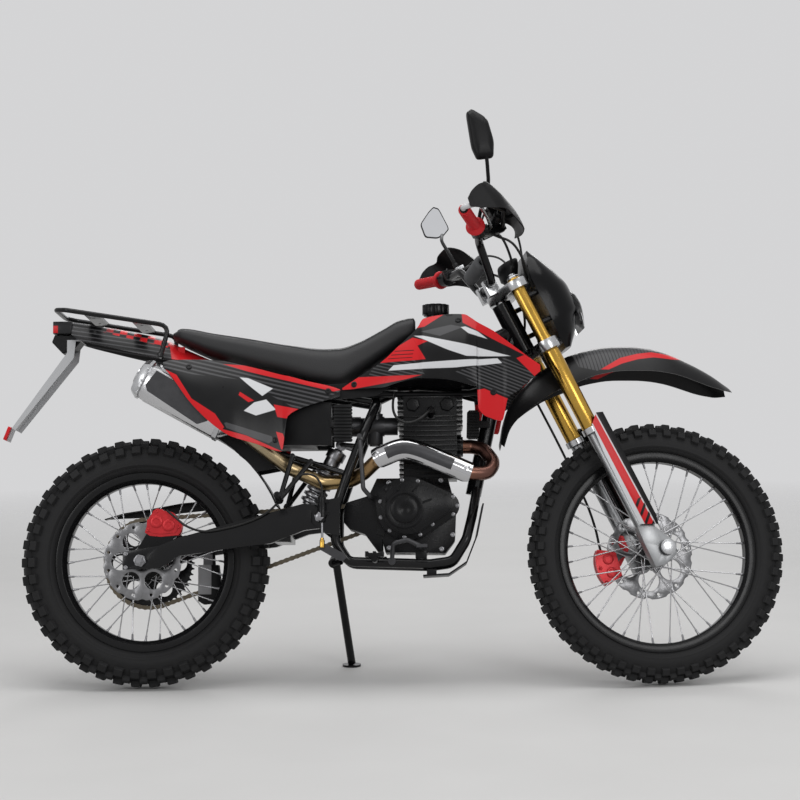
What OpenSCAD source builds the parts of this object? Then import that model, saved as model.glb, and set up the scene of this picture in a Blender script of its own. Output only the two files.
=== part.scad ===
// Trail motorcycle for road and track, leaning on its side stand with the bars turned left.
// Millimetres. In the upright frame of the bike x runs forward, y to the rider's left, z up.

/* [Stance] */
// Distance between the wheel axles
wheelbase = 1380; // [1340:5:1420]
// Lean to the left on the stand, degrees
lean = 10; // [8:0.5:12]
// Steering axis back from upright, degrees
rake = 26.5; // [25:0.5:28]
// Bars turned left at rest, degrees
bar_turn = 10; // [0:1:15]
// Front axle above the ground line
front_axle_z = 352; // [346:1:358]
// Rear axle above the ground line
rear_axle_z = 336; // [330:1:342]

/* [Wheels] */
// Height of the front tyre over its seat, to the lug tips
front_wall = 90; // [86:1:94]
// Height of the rear tyre over its seat, to the lug tips
rear_wall = 104; // [100:1:108]
// Half width of the front tyre
front_half_w = 43; // [38:1:46]
// Half width of the rear tyre
rear_half_w = 57; // [50:1:58]
// Lug height
lug_h = 12; // [8:1:14]
// Lugs round the front tyre
front_lugs = 32; // [28:1:36]
// Lugs round the rear tyre
rear_lugs = 30; // [26:1:34]
// Radius of the front rim where the tyre sits
front_seat_r = 262; // [260:1:264]
// Radius of the rear rim where the tyre sits
rear_seat_r = 232; // [230:1:234]
// Spokes in each wheel
spoke_n = 36; // [24:12:36]
// Radius of a spoke
spoke_r = 1.7; // [1.5:0.1:2]
// Radius of both axles
axle_r = 10; // [8:0.5:11]
// Radius of the front brake disc
front_disc_r = 120; // [110:1:124]
// Radius of the rear brake disc
rear_disc_r = 105; // [98:1:108]
// Teeth on the rear sprocket
sprocket_teeth = 48; // [46:1:49]

/* [Fork] */
// Fork tubes either side of the middle
fork_half = 100; // [96:1:104]
// Fork tubes ahead of the steering axis
tube_ahead = 35; // [32:1:38]
// Axle ahead of the fork tubes
axle_ahead = 29; // [26:1:32]
// Radius of the outer fork tube below the clamps
tube_r = 23; // [21:0.5:24]
// Radius of the sliding tube
slider_r = 18; // [16:0.5:19]
// Height of the lower clamp along the steering axis
clamp_low = 612; // [605:1:618]
// Height of the upper clamp along the steering axis
clamp_high = 798; // [792:1:804]
// Radius of the steering stem
stem_r = 14; // [12:0.5:16]
// Half width of the handlebar
bar_half = 398; // [380:2:410]

/* [Frame] */
// Radius of the spine and down tube
spine_r = 20; // [18:0.5:21]
// Radius of the cradle tubes
cradle_r = 13; // [11:0.5:14]
// Cradle tubes either side of the middle
cradle_half = 98; // [96:0.5:100]
// Radius of the seat rails
rail_r = 10; // [8:0.5:11]
// Seat rails either side of the middle
rail_half = 62; // [60:1:64]
// Inner face of each swingarm beam from the middle
arm_in = 96; // [95:0.5:98]
// Thickness of a swingarm beam
arm_t = 30; // [24:1:32]

/* [Engine] */
// Half width of the crankcase
case_half = 86; // [80:1:86]
// Depth of the clutch cover
cover_t = 44; // [36:1:46]
// Cooling fins on the cylinder and head
fin_n = 17; // [12:1:18]
// Radius of the exhaust pipe
pipe_r = 19; // [16:0.5:20]

/* [Bodywork] */
// Thickness of plastic panels
skin = 3.5; // [3:0.5:4]
// Radius of the rack tube
rack_r = 6.5; // [5:0.5:7]
// Radius of the fuel cap
cap_r = 37; // [32:1:38]

/* [Stand] */
// How far left of the tyres the stand foot reaches
stand_reach = 300; // [280:2:320]
// Radius of the stand leg
leg_r = 11; // [9:0.5:12]

/* [Hidden] */
gap = 0.3;           // seated pieces stop this far from their seat
run = 0.06;          // turning pieces run with this much room all round
sides = 12;          // facets round a bent tube
$fn = 64;

front_r = front_seat_r + front_wall;
rear_r = rear_seat_r + rear_wall;
steer_o = [wheelbase / 2, 0, front_axle_z]
    - (axle_ahead + tube_ahead) * [cos(rake), 0, sin(rake)];
rear_axle = [-wheelbase / 2, 0, rear_axle_z];
wheel_f = [axle_ahead + tube_ahead, 0, 0];

// Turns of a point about each axis, and the way from one frame to the next
function rx(a, p) = [p.x, p.y * cos(a) - p.z * sin(a), p.y * sin(a) + p.z * cos(a)];
function ry(a, p) = [p.x * cos(a) + p.z * sin(a), p.y, p.z * cos(a) - p.x * sin(a)];
function rz(a, p) = [p.x * cos(a) - p.y * sin(a), p.x * sin(a) + p.y * cos(a), p.z];
function steer_way(p) = ry(-rake, rz(bar_turn, p));
function from_steer(p) = steer_o + steer_way(p);
// A point of the straight-ahead bike in the frame of the steering
function st(x, y, z) = ry(rake, [x, y, z] - steer_o);

// Half profiles of the tyres over the lugs, lateral then radius, from crown to bead
front_prof = [[0, front_r], [15, front_r], [front_half_w - 1, front_r - 18], [front_half_w, front_r - 36],
    [front_half_w - 3, front_r - 54], [33, front_seat_r + 20], [21, front_seat_r + 10.6], [20.4, front_seat_r]];
rear_prof = [[0, rear_r], [20, rear_r], [rear_half_w - 1, rear_r - 18], [rear_half_w, rear_r - 38],
    [rear_half_w - 4, rear_r - 60], [44, rear_seat_r + 22], [27, rear_seat_r + 9.6], [26.4, rear_seat_r]];

// Lowest point of a wheel whose axle points along a
function wheel_low(c, a, prof) = min([for (p = prof, s = [-1, 1])
    c.z + s * p[0] * a.z - p[1] * sqrt(1 - a.z * a.z)]);
pitch = atan((wheel_low(rx(-lean, from_steer(wheel_f)), rx(-lean, steer_way([0, 1, 0])), front_prof)
    - wheel_low(rx(-lean, rear_axle), rx(-lean, [0, 1, 0]), rear_prof)) / wheelbase);
function leaned(p) = ry(pitch, rx(-lean, p));
lift = -min(wheel_low(leaned(from_steer(wheel_f)), leaned(steer_way([0, 1, 0])), front_prof),
    wheel_low(leaned(rear_axle), leaned([0, 1, 0]), rear_prof));
shift = [19, -206.3, lift];
function world(p) = leaned(p) + shift;

module parked() { translate(shift) rotate([0, pitch, 0]) rotate([-lean, 0, 0]) children(); }
module steered() {
    parked() translate(steer_o) rotate([0, -rake, 0]) rotate([0, 0, bar_turn]) children();
}
module at_rear() { parked() translate(rear_axle) rotate([-90, 0, 0]) children(); }
module at_front() { steered() translate(wheel_f) rotate([-90, 0, 0]) children(); }

// Paths, tubes and lofted skins
function unit(v) = v / norm(v);
function bend_at(a, b, c, r, n) = let (u = unit(a - b), v = unit(c - b),
    d = min(r / tan(acos(u * v) / 2), 0.47 * norm(a - b), 0.47 * norm(c - b)))
    [for (k = [0 : n]) let (t = k / n) b + (1 - t) * (1 - t) * d * u + t * t * d * v];
function bent(p, r, n = 4) = concat([p[0]],
    [for (i = [1 : len(p) - 2]) each bend_at(p[i - 1], p[i], p[i + 1], r, n)], [p[len(p) - 1]]);
function along(p) = [for (i = [0 : len(p) - 1])
    i == 0 ? unit(p[1] - p[0]) : i == len(p) - 1 ? unit(p[i] - p[i - 1])
    : unit(unit(p[i] - p[i - 1]) + unit(p[i + 1] - p[i]))];
function off_axis(t) = unit(cross(t, abs(t.z) < 0.9 ? [0, 0, 1] : [0, 1, 0]));
function carried(t) = [for (i = 0, n = off_axis(t[0]); i < len(t);
    i = i + 1, n = i < len(t) ? unit(n - (n * t[i]) * t[i]) : n) n];
function ring_faces(m, s) = concat([[for (k = [0 : s - 1]) k]],
    [for (i = [0 : m - 2], k = [0 : s - 1])
        [(i + 1) * s + k, (i + 1) * s + (k + 1) % s, i * s + (k + 1) % s, i * s + k]],
    [[for (k = [s - 1 : -1 : 0]) (m - 1) * s + k]]);
function flat(l) = [for (a = l) each a];
module tube(p, r, s = sides) {
    t = along(p);
    n = carried(t);
    polyhedron(flat([for (i = [0 : len(p) - 1]) [for (k = [0 : s - 1])
        p[i] + r * (cos(360 * k / s) * n[i] + sin(360 * k / s) * cross(t[i], n[i]))]]),
        ring_faces(len(p), s), convexity = 8);
}
module rod(a, b, r) {
    d = b - a;
    translate(a) rotate([0, acos(d.z / norm(d)), atan2(d.y, d.x)]) cylinder(h = norm(d), r = r);
}
module loft(rows) { polyhedron(flat(rows), ring_faces(len(rows), len(rows[0])), convexity = 8); }
function spow(v, e) = sign(v) * pow(abs(v), e);
// Closed sections: x, lowest z, highest z, half width, squareness
module hollowless(rows, n = 20) {
    loft([for (q = rows) [for (k = [0 : n - 1]) let (a = 360 * k / n) [q[0],
        q[3] * spow(cos(a), 2 / q[4]),
        (q[1] + q[2]) / 2 + (q[2] - q[1]) / 2 * spow(sin(a), 2 / q[4])]]]);
}
// Side skins: x, lowest z, highest z, y at the bottom, y at the top, outward belly
module side_skin(rows, side, n = 6) {
    loft([for (q = side > 0 ? rows : [for (i = [len(rows) - 1 : -1 : 0]) rows[i]])
        let (out = [for (k = [0 : n]) let (v = k / n) [side * q[0],
            q[3] + (q[4] - q[3]) * v + q[5] * 4 * v * (1 - v), q[1] + (q[2] - q[1]) * v]])
        concat([for (p = out) [side * p.x, side * p.y, p.z]],
            [for (k = [n : -1 : 0]) [side * out[k].x, side * (out[k].y - skin), out[k].z]])]);
}
// Arched skins: x, crown z, half width, fall of the sides
module arch_skin(rows, t, n = 10) {
    loft([for (q = rows) concat(
        [for (k = [0 : n]) let (v = 1 - 2 * k / n) [q[0], q[2] * v, q[1] - q[3] * pow(abs(v), 2.4)]],
        [for (k = [n : -1 : 0]) let (v = 1 - 2 * k / n)
            [q[0], (q[2] - t) * v, q[1] - t - (q[3] - t) * pow(abs(v), 2.4)]])]);
}
// A flat shape in the x-z plane, given thickness between two y values
module slab(pts, y0, y1) {
    translate([0, y1, 0]) rotate([90, 0, 0]) linear_extrude(y1 - y0) polygon(pts);
}
// A strip of even thickness along a path in the x-z plane
function strip(p, t) = let (d = along([for (q = p) [q[0], 0, q[1]]]))
    concat(p, [for (i = [len(p) - 1 : -1 : 0]) [p[i][0] + t * d[i].z, p[i][1] - t * d[i].x]]);
module y_pin(x, z, y0, y1, r) { translate([x, y0, z]) rotate([-90, 0, 0]) cylinder(h = y1 - y0, r = r); }

// Wheels
function whole(prof) = concat([for (p = prof) [p[1], p[0]]],
    [for (i = [len(prof) - 1 : -1 : 1]) [prof[i][1], -prof[i][0]]]);
// Casing, then lugs across it, trimmed to the outer profile
module tyre(prof, n) {
    r = prof[0][1];
    half = prof[3][0];
    casing = concat([[0, r - lug_h], [prof[1][0], r - lug_h - 1]], [for (i = [3 : len(prof) - 1]) prof[i]]);
    rotate_extrude($fn = 40) polygon(whole(casing));
    intersection() {
        rotate_extrude($fn = 40) polygon([[r - 40, -half + 1], [prof[2][1], -prof[2][0]], [r, -prof[1][0]],
            [r, prof[1][0]], [prof[2][1], prof[2][0]], [r - 40, half - 1]]);
        translate([0, 0, -half + 1]) linear_extrude(2 * half - 2) difference() {
            polygon([for (i = [0 : n - 1], k = [[0.04, r - 38], [0.1, r + 4], [0.54, r + 4], [0.6, r - 38]])
                k[1] * [cos(360 * (i + k[0]) / n), sin(360 * (i + k[0]) / n)]]);
            circle(r - 39, $fn = 40);
        }
    }
}
module rim(seat, half, deep) {
    rotate_extrude($fn = 40) polygon([[seat - gap, -half + 4.4], [seat + 9, -half + 4], [seat + 9, -half],
        [seat - 8, -half + 1], [seat - deep, -half * 0.55], [seat - deep, half * 0.55],
        [seat - 8, half - 1], [seat + 9, half], [seat + 9, half - 4], [seat - gap, half - 4.4]]);
}
front_rim_half = 25;
rear_rim_half = 31;
front_rim_in = front_seat_r - 16;
rear_rim_in = rear_seat_r - 20;
front_flange = [36, 28];   // radius, lateral
rear_flange = [48, 34];
module spokes(flange, rim_in, wrap) {
    for (i = [0 : spoke_n - 1]) {
        s = i % 2 == 0 ? 1 : -1;
        lead = floor(i / 2) % 2 == 0 ? 1 : -1;
        a = 360 * i / spoke_n;
        b = a + lead * wrap;
        r0 = flange[0] + spoke_r + gap;
        r1 = rim_in * cos(4.5) - 0.4;
        rod([r0 * cos(a), r0 * sin(a), s * (flange[1] + 4 * lead)],
            [r1 * cos(b), r1 * sin(b), s * (5 + 2 * lead)], spoke_r, $fn = 12);
    }
}
module front_tyre() { color("#1b1b1c") at_front() tyre(front_prof, front_lugs); }
module rear_tyre() { color("#1b1b1c") at_rear() tyre(rear_prof, rear_lugs); }
module front_rim() { color("#202124") at_front() rim(front_seat_r, front_rim_half, 16); }
module rear_rim() { color("#202124") at_rear() rim(rear_seat_r, rear_rim_half, 20); }
module front_spokes() { color("#a8abb0") at_front() spokes(front_flange, front_rim_in, 60); }
module rear_spokes() { color("#a8abb0") at_rear() spokes(rear_flange, rear_rim_in, 40); }
// Hub ends: lateral of the brake face and of the far face
front_hub_y = [66 - gap, -60];
rear_hub_y = [71 - gap, -78 + gap];
module hub(flange, core, ends, boss) {
    difference() {
        rotate_extrude() polygon([[1, ends[1]], [boss[1], ends[1]], [boss[1], -flange[1] - 14],
            [flange[0], -flange[1] - 7], [flange[0], -flange[1] + 7], [core, -flange[1] + 14],
            [core, flange[1] - 14], [flange[0], flange[1] - 7], [flange[0], flange[1] + 7],
            [boss[0], flange[1] + 14], [boss[0], ends[0]], [1, ends[0]]]);
        translate([0, 0, -200]) cylinder(h = 400, r = axle_r + run);
    }
}
module front_hub() { color("#2a2b2e") at_front() hub(front_flange, 20, front_hub_y, [33, 22]); }
module rear_hub() { color("#2a2b2e") at_rear() hub(rear_flange, 27, rear_hub_y, [50, 38]); }
module disc(r, inner, bolt, t, scallops, windows) {
    difference() {
        cylinder(h = t, r = r, $fn = 96);
        translate([0, 0, -1]) cylinder(h = t + 2, r = inner);
        for (i = [0 : scallops - 1]) rotate(360 * i / scallops) {
            translate([r + 14, 0, -1]) cylinder(h = t + 2, r = 18, $fn = 32);
            rotate(180 / scallops) translate([r - 12, 0, -1]) cylinder(h = t + 2, r = 4.2, $fn = 16);
        }
        for (i = [0 : windows - 1]) rotate(360 * i / windows)
            translate([(r + bolt) / 2 - 8, 0, -1]) cylinder(h = t + 2, r = (r - bolt) / 2 - 14, $fn = 32);
    }
}
module front_disc() {
    color("#8d9093") at_front() translate([0, 0, 66]) disc(front_disc_r, 24, 34, 4, 12, 6);
}
module rear_disc() {
    color("#8d9093") at_rear() translate([0, 0, -82]) disc(rear_disc_r, 24, 30, 4, 12, 6);
}
chain_pitch = 15.875;
sprocket_y = 74;
sprocket_r = chain_pitch / 2 / sin(180 / sprocket_teeth);
module rear_sprocket() {
    color("#33343a") at_rear() translate([0, 0, sprocket_y - 3]) difference() {
        linear_extrude(6) polygon([for (i = [0 : sprocket_teeth - 1], k = [[-0.5, -6], [-0.24, -4.5],
            [-0.08, 2.2], [0.08, 2.2], [0.24, -4.5]])
            (sprocket_r + k[1]) * [cos(360 * (i + k[0]) / sprocket_teeth), sin(360 * (i + k[0]) / sprocket_teeth)]]);
        translate([0, 0, -1]) cylinder(h = 8, r = 24);
        for (i = [0 : 5]) rotate(60 * i) translate([80, 0, -1]) cylinder(h = 8, r = 22, $fn = 32);
    }
}

// Chassis
pivot = [-212, 0, 448];
head_low = clamp_low + 28 + 6;
head_high = clamp_high - 6;
stand_top = [-183, 134, 346];
stand_axis = unit([0.192, 0.836, 0.5136]);
cradle_path = bent([[207, 12, 525], [192, 66, 450], [176, cradle_half - 3, 388], [140, cradle_half, 330],
    [80, cradle_half, 322], [-140, cradle_half, 330], [-172, cradle_half + 5, 380],
    [-172, cradle_half + 9, 470], [-140, cradle_half + 6, 560], [-96, cradle_half - 6, 673],
    [-62, 52, 757], [-66, 0, 772]], 36);
function flip(p) = [for (q = p) [q.x, -q.y, q.z]];
module main_frame() {
    color("#151516") parked() {
        difference() {
            union() {
                translate(steer_o) rotate([0, -rake, 0]) translate([0, 0, head_low])
                    cylinder(h = head_high - head_low, r = 27);
                tube(bent([[312, 0, 960], [120, 0, 868], [-20, 0, 797], [-76, 0, 770]], 60), spine_r);
                tube(bent([[314, 0, 964], [255, 0, 772], [197, 0, 510]], 120), spine_r + 1);
                tube(cradle_path, cradle_r);
                // Rubber that the tank rests on
                y_pin(180, 897, -spine_r - 5 + gap, spine_r + 5 - gap, 9);
                tube(flip(cradle_path), cradle_r);
                // Plates that carry the swingarm pivot
                for (s = [-1, 1]) translate([0, s * (arm_in + arm_t + 7), 0]) {
                    slab([[-232, 464], [-232, 432], [-196, 404], [-160, 398], [-158, 500], [-196, 492]], -4, 4);
                    translate([0, s > 0 ? -24 : 0, 0]) slab([[-184, 482], [-184, 412], [-164, 412], [-164, 482]], 0, 24);
                }
                y_pin(pivot.x, pivot.z, -arm_in - arm_t - 16, arm_in + arm_t + 16, 9);
                // Lug and pin of the side stand
                rod([-166, cradle_half, 338], stand_top - 24 * stand_axis, 9);
                rod(stand_top - 26 * stand_axis, stand_top - 14.5 * stand_axis, 15);
                rod(stand_top - 20 * stand_axis, stand_top + 19 * stand_axis, 6);
            }
            translate(steer_o) rotate([0, -rake, 0]) cylinder(h = 1000, r = stem_r + run);
        }
    }
}
rail_path = [[-76.4, rail_half, 762.7], [-130, rail_half, 772], [-640, rail_half, 856]];
module subframe() {
    color("#151516") parked() {
        for (s = [-1, 1]) {
            tube([for (q = rail_path) [q.x, s * q.y, q.z]], rail_r);
            tube(bent([[-148.3, s * (rail_half + 28.6), 566.7], [-230, s * rail_half, 594], [-350, s * (rail_half + 4), 630],
                [-500, s * (rail_half + 1), 828]], 50), rail_r - 2);
        }
        for (x = [-300, -560]) y_pin(x, 772 + 0.1647 * (-130 - x), -rail_half, rail_half, rail_r - 1.5);
    }
}
module swingarm() {
    color("#1c1c1e") parked() difference() {
        union() {
            for (s = [-1, 1]) translate([0, s > 0 ? arm_in : -arm_in - arm_t, 0])
                slab([[rear_axle.x - 46, rear_axle.z + 23], [rear_axle.x - 46, rear_axle.z - 23],
                    [rear_axle.x + 50, rear_axle.z - 21], [-588, 348], [-452, 366], [-344, 379], [-255, 413],
                    [-214, 418], [-194, 434], [-194, 462], [-214, 478], [-255, 484], [-588, 396],
                    [rear_axle.x + 50, rear_axle.z + 39]], 0, arm_t);
            translate([-338, -arm_in - 1, 384]) cube([46, 2 * arm_in + 2, 70]);
            for (s = [-1, 1]) y_pin(pivot.x, pivot.z, s > 0 ? 62 : -arm_in - 1, s > 0 ? arm_in + 1 : -62, 23);
            for (s = [-1, 1]) slab([[-300, 440], [-300, 462], [-262, 474], [-250, 462], [-256, 446], [-292, 420]],
                s > 0 ? 12.4 : -20.4, s > 0 ? 20.4 : -12.4);
        }
        y_pin(pivot.x, pivot.z, -200, 200, 9 + gap);
        y_pin(rear_axle.x, rear_axle.z, -200, 200, axle_r + gap);
        y_pin(-262, 458, -40, 40, 6 + gap);
    }
}
module rear_axle_set() {
    color("#b9bcc0") at_rear() {
        translate([0, 0, -arm_in - arm_t - 14]) cylinder(h = 2 * (arm_in + arm_t + 14), r = axle_r);
        for (s = [-1, 1]) translate([0, 0, s > 0 ? arm_in + arm_t + gap : -arm_in - arm_t - gap - 10])
            cylinder(h = 10, r = 16, $fn = 6);
        translate([0, 0, rear_hub_y[0] + 0.5]) cylinder(h = arm_in - gap - rear_hub_y[0] - 0.5, r = 15);
        translate([0, 0, -arm_in + gap]) cylinder(h = arm_in - gap + rear_hub_y[1] - 0.5, r = 15);
    }
}
drive = [-105, 455];
drive_r = 35.7;
run_x = drive[0] - rear_axle.x;
run_z = drive[1] - rear_axle.z;
run_a = atan2(run_z, run_x);
run_b = acos((sprocket_r - drive_r) / norm([run_x, run_z]));
run_len = sqrt(run_x * run_x + run_z * run_z - pow(sprocket_r - drive_r, 2));
// Edge of the side plates, o from the pitch line
function chain_loop(o) = concat(
    [for (k = [0 : 24]) let (a = run_a + run_b + k / 24 * (360 - 2 * run_b))
        [rear_axle.x + (sprocket_r + o) * cos(a), rear_axle.z + (sprocket_r + o) * sin(a)]],
    [for (k = [0 : 10]) let (a = run_a - run_b + k / 10 * 2 * run_b)
        [drive[0] + (drive_r + o) * cos(a), drive[1] + (drive_r + o) * sin(a)]]);
module chain() {
    color("#6f6a5e") parked() {
        for (y = [sprocket_y - 7.6, sprocket_y + 5.2]) translate([0, y, 0]) difference() {
            slab(chain_loop(6.5), 0, 2.4);
            translate([0, -1, 0]) slab(chain_loop(-6.5), 0, 4.4);
        }
        for (s = [-1, 1], d = [60 : 11 * chain_pitch : run_len - 12]) {
            a = run_a + s * run_b;
            x = rear_axle.x + sprocket_r * cos(a) + d * sin(a) * s;
            z = rear_axle.z + sprocket_r * sin(a) - d * cos(a) * s;
            y_pin(x, z, sprocket_y - 7, sprocket_y + 7, 5, $fn = 6);
        }
        y_pin(drive[0], drive[1], sprocket_y - 5.2, sprocket_y + 5.2, drive_r - 1, $fn = 24);
        y_pin(drive[0], drive[1], 50 + gap, sprocket_y + 12, 12, $fn = 24);
    }
}
module chain_guards() {
    color("#1d1d1f") parked() {
        // Upper strip over the chain
        slab(strip([[-815, 458], [-760, 474], [-690, 484], [-600, 500], [-520, 506], [-430, 505]], 3),
            rear_half_w + 8, arm_in - 1);
        slab([[-470, 402], [-470, 504], [-440, 503], [-440, 406]], arm_in - 5, arm_in - gap);
        // Guide for the lower run
        for (y = [60, 88]) slab([[-556, 330], [-556, 232], [-540, 222], [-500, 226], [-488, 240], [-500, 330]], y, y + 3);
        slab([[-556, 240], [-548, 226], [-500, 226], [-492, 240], [-500, 233], [-548, 233]], 60, 91);
        slab([[-545, 320], [-545, 385], [-515, 388], [-510, 320]], 88, arm_in - gap);
    }
}
shock_top = [-160, 0, 650];
shock_low = [-262, 0, 458];
module rear_shock() {
    color("#3a3a3d") parked() {
        d = norm(shock_low - shock_top);
        translate(shock_low) rotate([0, atan2(shock_top.x - shock_low.x, shock_top.z - shock_low.z), 0]) {
            rotate_extrude() polygon(concat([[0, 8], [9, 8], [9, 30], [22, 30]],
                [for (i = [0 : 6], q = [[22, 0], [31, 3.5], [31, 10.5], [22, 14]]) [q[0], 36 + i * 17 + q[1]]],
                [[22, d - 44], [26, d - 44], [26, d - 20], [10, d - 14], [0, d - 14]]));
            for (h = [0, d]) translate([0, 12, h]) rotate([90, 0, 0]) cylinder(h = 24, r = 15);
        }
        y_pin(shock_low.x, shock_low.z, -20, 20, 6);
        y_pin(shock_top.x, shock_top.z, -28, 28, 7);
        // Cross tube that takes the upper eye
        for (s = [-1, 1]) rod([shock_top.x, s * 24, shock_top.z], [-116.8, s * (cradle_half - 13.7), 640], 6);
    }
}
module rear_caliper() {
    color("#8f1a1f") parked() difference() {
        union() {
            slab([[-684, 410], [-660, 476], [-606, 466], [-582, 430], [-590, 404], [-640, 400]], -arm_in + 1, -62);
            slab([[-712, 330], [-712, 352], [-670, 420], [-600, 420], [-596, 404], [-668, 330]], -arm_in + gap, -89);
        }
        y_pin(rear_axle.x, rear_axle.z, -200, 0, 16 + gap);
        translate([0, -84.5, 0]) rotate([-90, 0, 0]) translate([rear_axle.x, -rear_axle.z, 0])
            cylinder(h = 9, r = rear_disc_r + 4);
        translate([0, -89.01, 0]) rotate([-90, 0, 0]) translate([rear_axle.x, -rear_axle.z, 0])
            cylinder(h = 60, r = 62);
    }
}
module mud_guard() {
    color("#1a1a1b") parked() translate([0, 62, 0])
        slab(concat([for (a = [22 : 5 : 67]) [rear_axle.x + 385 * cos(a), rear_axle.z + 385 * sin(a)]],
            [for (a = [67 : -5 : 22]) [rear_axle.x + 389 * cos(a), rear_axle.z + 389 * sin(a)]]), -124, 0);
    // Tabs up to the seat braces
    color("#1a1a1b") parked() for (y = [-56, 49]) slab([[-444, 630], [-414, 606], [-408, 716], [-432, 744]], y, y + 7);
}

// Engine
module crankcase() {
    color("#1f1f21") parked() {
        slab([[-50, 395], [-40, 354], [120, 352], [146, 386], [150, 470], [128, 552], [-50, 552]],
            -case_half, case_half);
        // Gearbox behind, round the drive shaft
        slab([[-144, 488], [-150, 474], [-150, 434], [-136, 418], [-95, 404], [-60, 356], [-48, 354], [-48, 552],
            [-62, 552], [-84, 506]], -case_half, 50);
        for (s = [-1, 1]) translate([40, s > 0 ? 78 : -96, 336.4]) cube([30, 18, 22]);
    }
}
module engine_covers() {
    color("#242427") parked() {
        // Clutch side
        translate([0, -case_half - gap, 0]) rotate([90, 0, 0]) {
            linear_extrude(cover_t * 0.55) hull() {
                translate([22, 470]) circle(84); translate([122, 476]) circle(36); translate([-40, 500]) circle(26);
            }
            translate([0, 0, cover_t * 0.5]) linear_extrude(cover_t * 0.5) hull() {
                translate([22, 470]) circle(70); translate([112, 478]) circle(26);
            }
            translate([12, 466, cover_t * 0.9]) rotate_extrude() polygon([[40, 0], [52, 0], [50, 8], [42, 8]]);
        }
        // Generator side
        translate([0, case_half + gap, 0]) rotate([-90, 0, 0]) mirror([0, 1, 0]) {
            linear_extrude(20) hull() { translate([60, 460]) circle(74); translate([-14, 470]) circle(34); }
            translate([60, 460, 18]) cylinder(h = 16, r = 60);
        }
    }
}
fin_pitch = 13;
module cylinder_block() {
    color("#232326") parked() {
        slab(concat([[10, 552 + gap]],
            flat([for (i = [0 : fin_n - 1]) let (z = 562 + i * fin_pitch, w = i < 10 ? 0 : 4)
                [[10, z], [-2 - w, z], [-2 - w, z + 4], [10, z + 4]]]),
            [[10, 562 + fin_n * fin_pitch - 8], [154, 562 + fin_n * fin_pitch - 8]],
            flat([for (i = [fin_n - 1 : -1 : 0]) let (z = 562 + i * fin_pitch, w = i < 10 ? 0 : 4)
                [[154, z + 4], [166 + w, z + 4], [166 + w, z], [154, z]]]),
            [[154, 552 + gap]]), -66, 66);
        translate([82, 0, 552 + gap + fin_n * fin_pitch]) cylinder(h = 8, r = 50);
        translate([150, -30, 640]) rotate([0, 90, 0]) cylinder(h = 20, r = 27);
    }
}
module carburettor() {
    color("#4b4c50") parked() {
        x = -4 - 2 - gap;
        for (q = [[x - 40, 40, 24], [x - 84, 48, 27], [x - 100, 18, 24]])
            translate([q[0], 0, 700]) rotate([0, 90, 0]) cylinder(h = q[1], r = q[2]);
        translate([x - 62, 0, 650]) cylinder(h = 84, r = 22);
        translate([x - 62, 0, 646]) cylinder(h = 12, r = 15);
        translate([-226 + gap, 0, 700]) rotate([0, 90, 0]) cylinder(h = x - 100 + 226 - 2 * gap, r = 27);
    }
}
module airbox() {
    color("#19191a") parked() {
        translate([-335, -94, 643]) cube([109, 188, 122]);
        for (s = [-1, 1]) translate([-228, s > 0 ? 60 : -94, 643]) cube([46, 34, 115]);
        // Ribbed cover ahead of the box on the right
        for (z = [652 : 9 : 742]) translate([-176, -108, z]) cube([50, 16, 5]);
        translate([-176, -102, 650]) cube([48, 10, 100]);
        translate([-186, -99, 690]) cube([14, 6, 20]);
    }
}
silencer_o = [-446, -122, 690];
silencer_way = [-cos(29.1), 0, sin(29.1)];
pipe_path = bent([[170 + gap, -30, 640], [196, -30, 640], [226, -52, 630], [252, -88, 592], [236, -122, 560], [180, -139, 560],
    [108, -142, 591], [20, -142, 622], [-60, -125, 597], [-97, -86, 566], [-132, -60, 548], [-205, -57, 541],
    [-300, -86, 584], [-372, -118, 640], silencer_o - 40 * silencer_way, silencer_o - gap * silencer_way], 45, 4);
module exhaust_pipe() { color("#8a6a45") parked() tube(pipe_path, pipe_r); }
module heat_shield() {
    path = bent([[160, -140, 567], [108, -142, 591], [20, -142, 622], [-56, -126, 599]], 60, 4);
    t = along(path);
    color("#c9ccd0") parked() {
        loft([for (i = [0 : len(path) - 1]) let (n = unit([0, -1, 0] - ([0, -1, 0] * t[i]) * t[i]), b = cross(t[i], n))
            concat([for (a = [-78 : 26 : 78]) path[i] + (pipe_r + 9) * (cos(a) * n + sin(a) * b)],
                [for (a = [78 : -26 : -78]) path[i] + (pipe_r + 6) * (cos(a) * n + sin(a) * b)])]);
        for (x = [22, 96]) y_pin(x, 620 - (x - 22) * 0.33, -142 - pipe_r - 12, -142 - pipe_r - gap, 6);
    }
}
silencer_rows = [[0, 0.46], [36, 1], [246, 1], [250, 0.97], [268, 0.93], [284, 0.7]];
module silencer() {
    color("#b4b6b8") parked() translate(silencer_o) rotate([0, 29.1, 0]) difference() {
        loft([for (i = [len(silencer_rows) - 1 : -1 : 0]) let (q = silencer_rows[i], k = q[1])
            [for (c = [[45, 18], [34, 40], [12, 54], [-18, 54], [-40, 38], [-45, 10], [-42, -26], [-26, -48],
                [10, -54], [34, -42], [45, -18]]) [-q[0], k * c[0], k * c[1]]]]);
        translate([-300, 0, 0]) rotate([0, 90, 0]) cylinder(h = 30, r = 17);
    }
}

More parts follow.
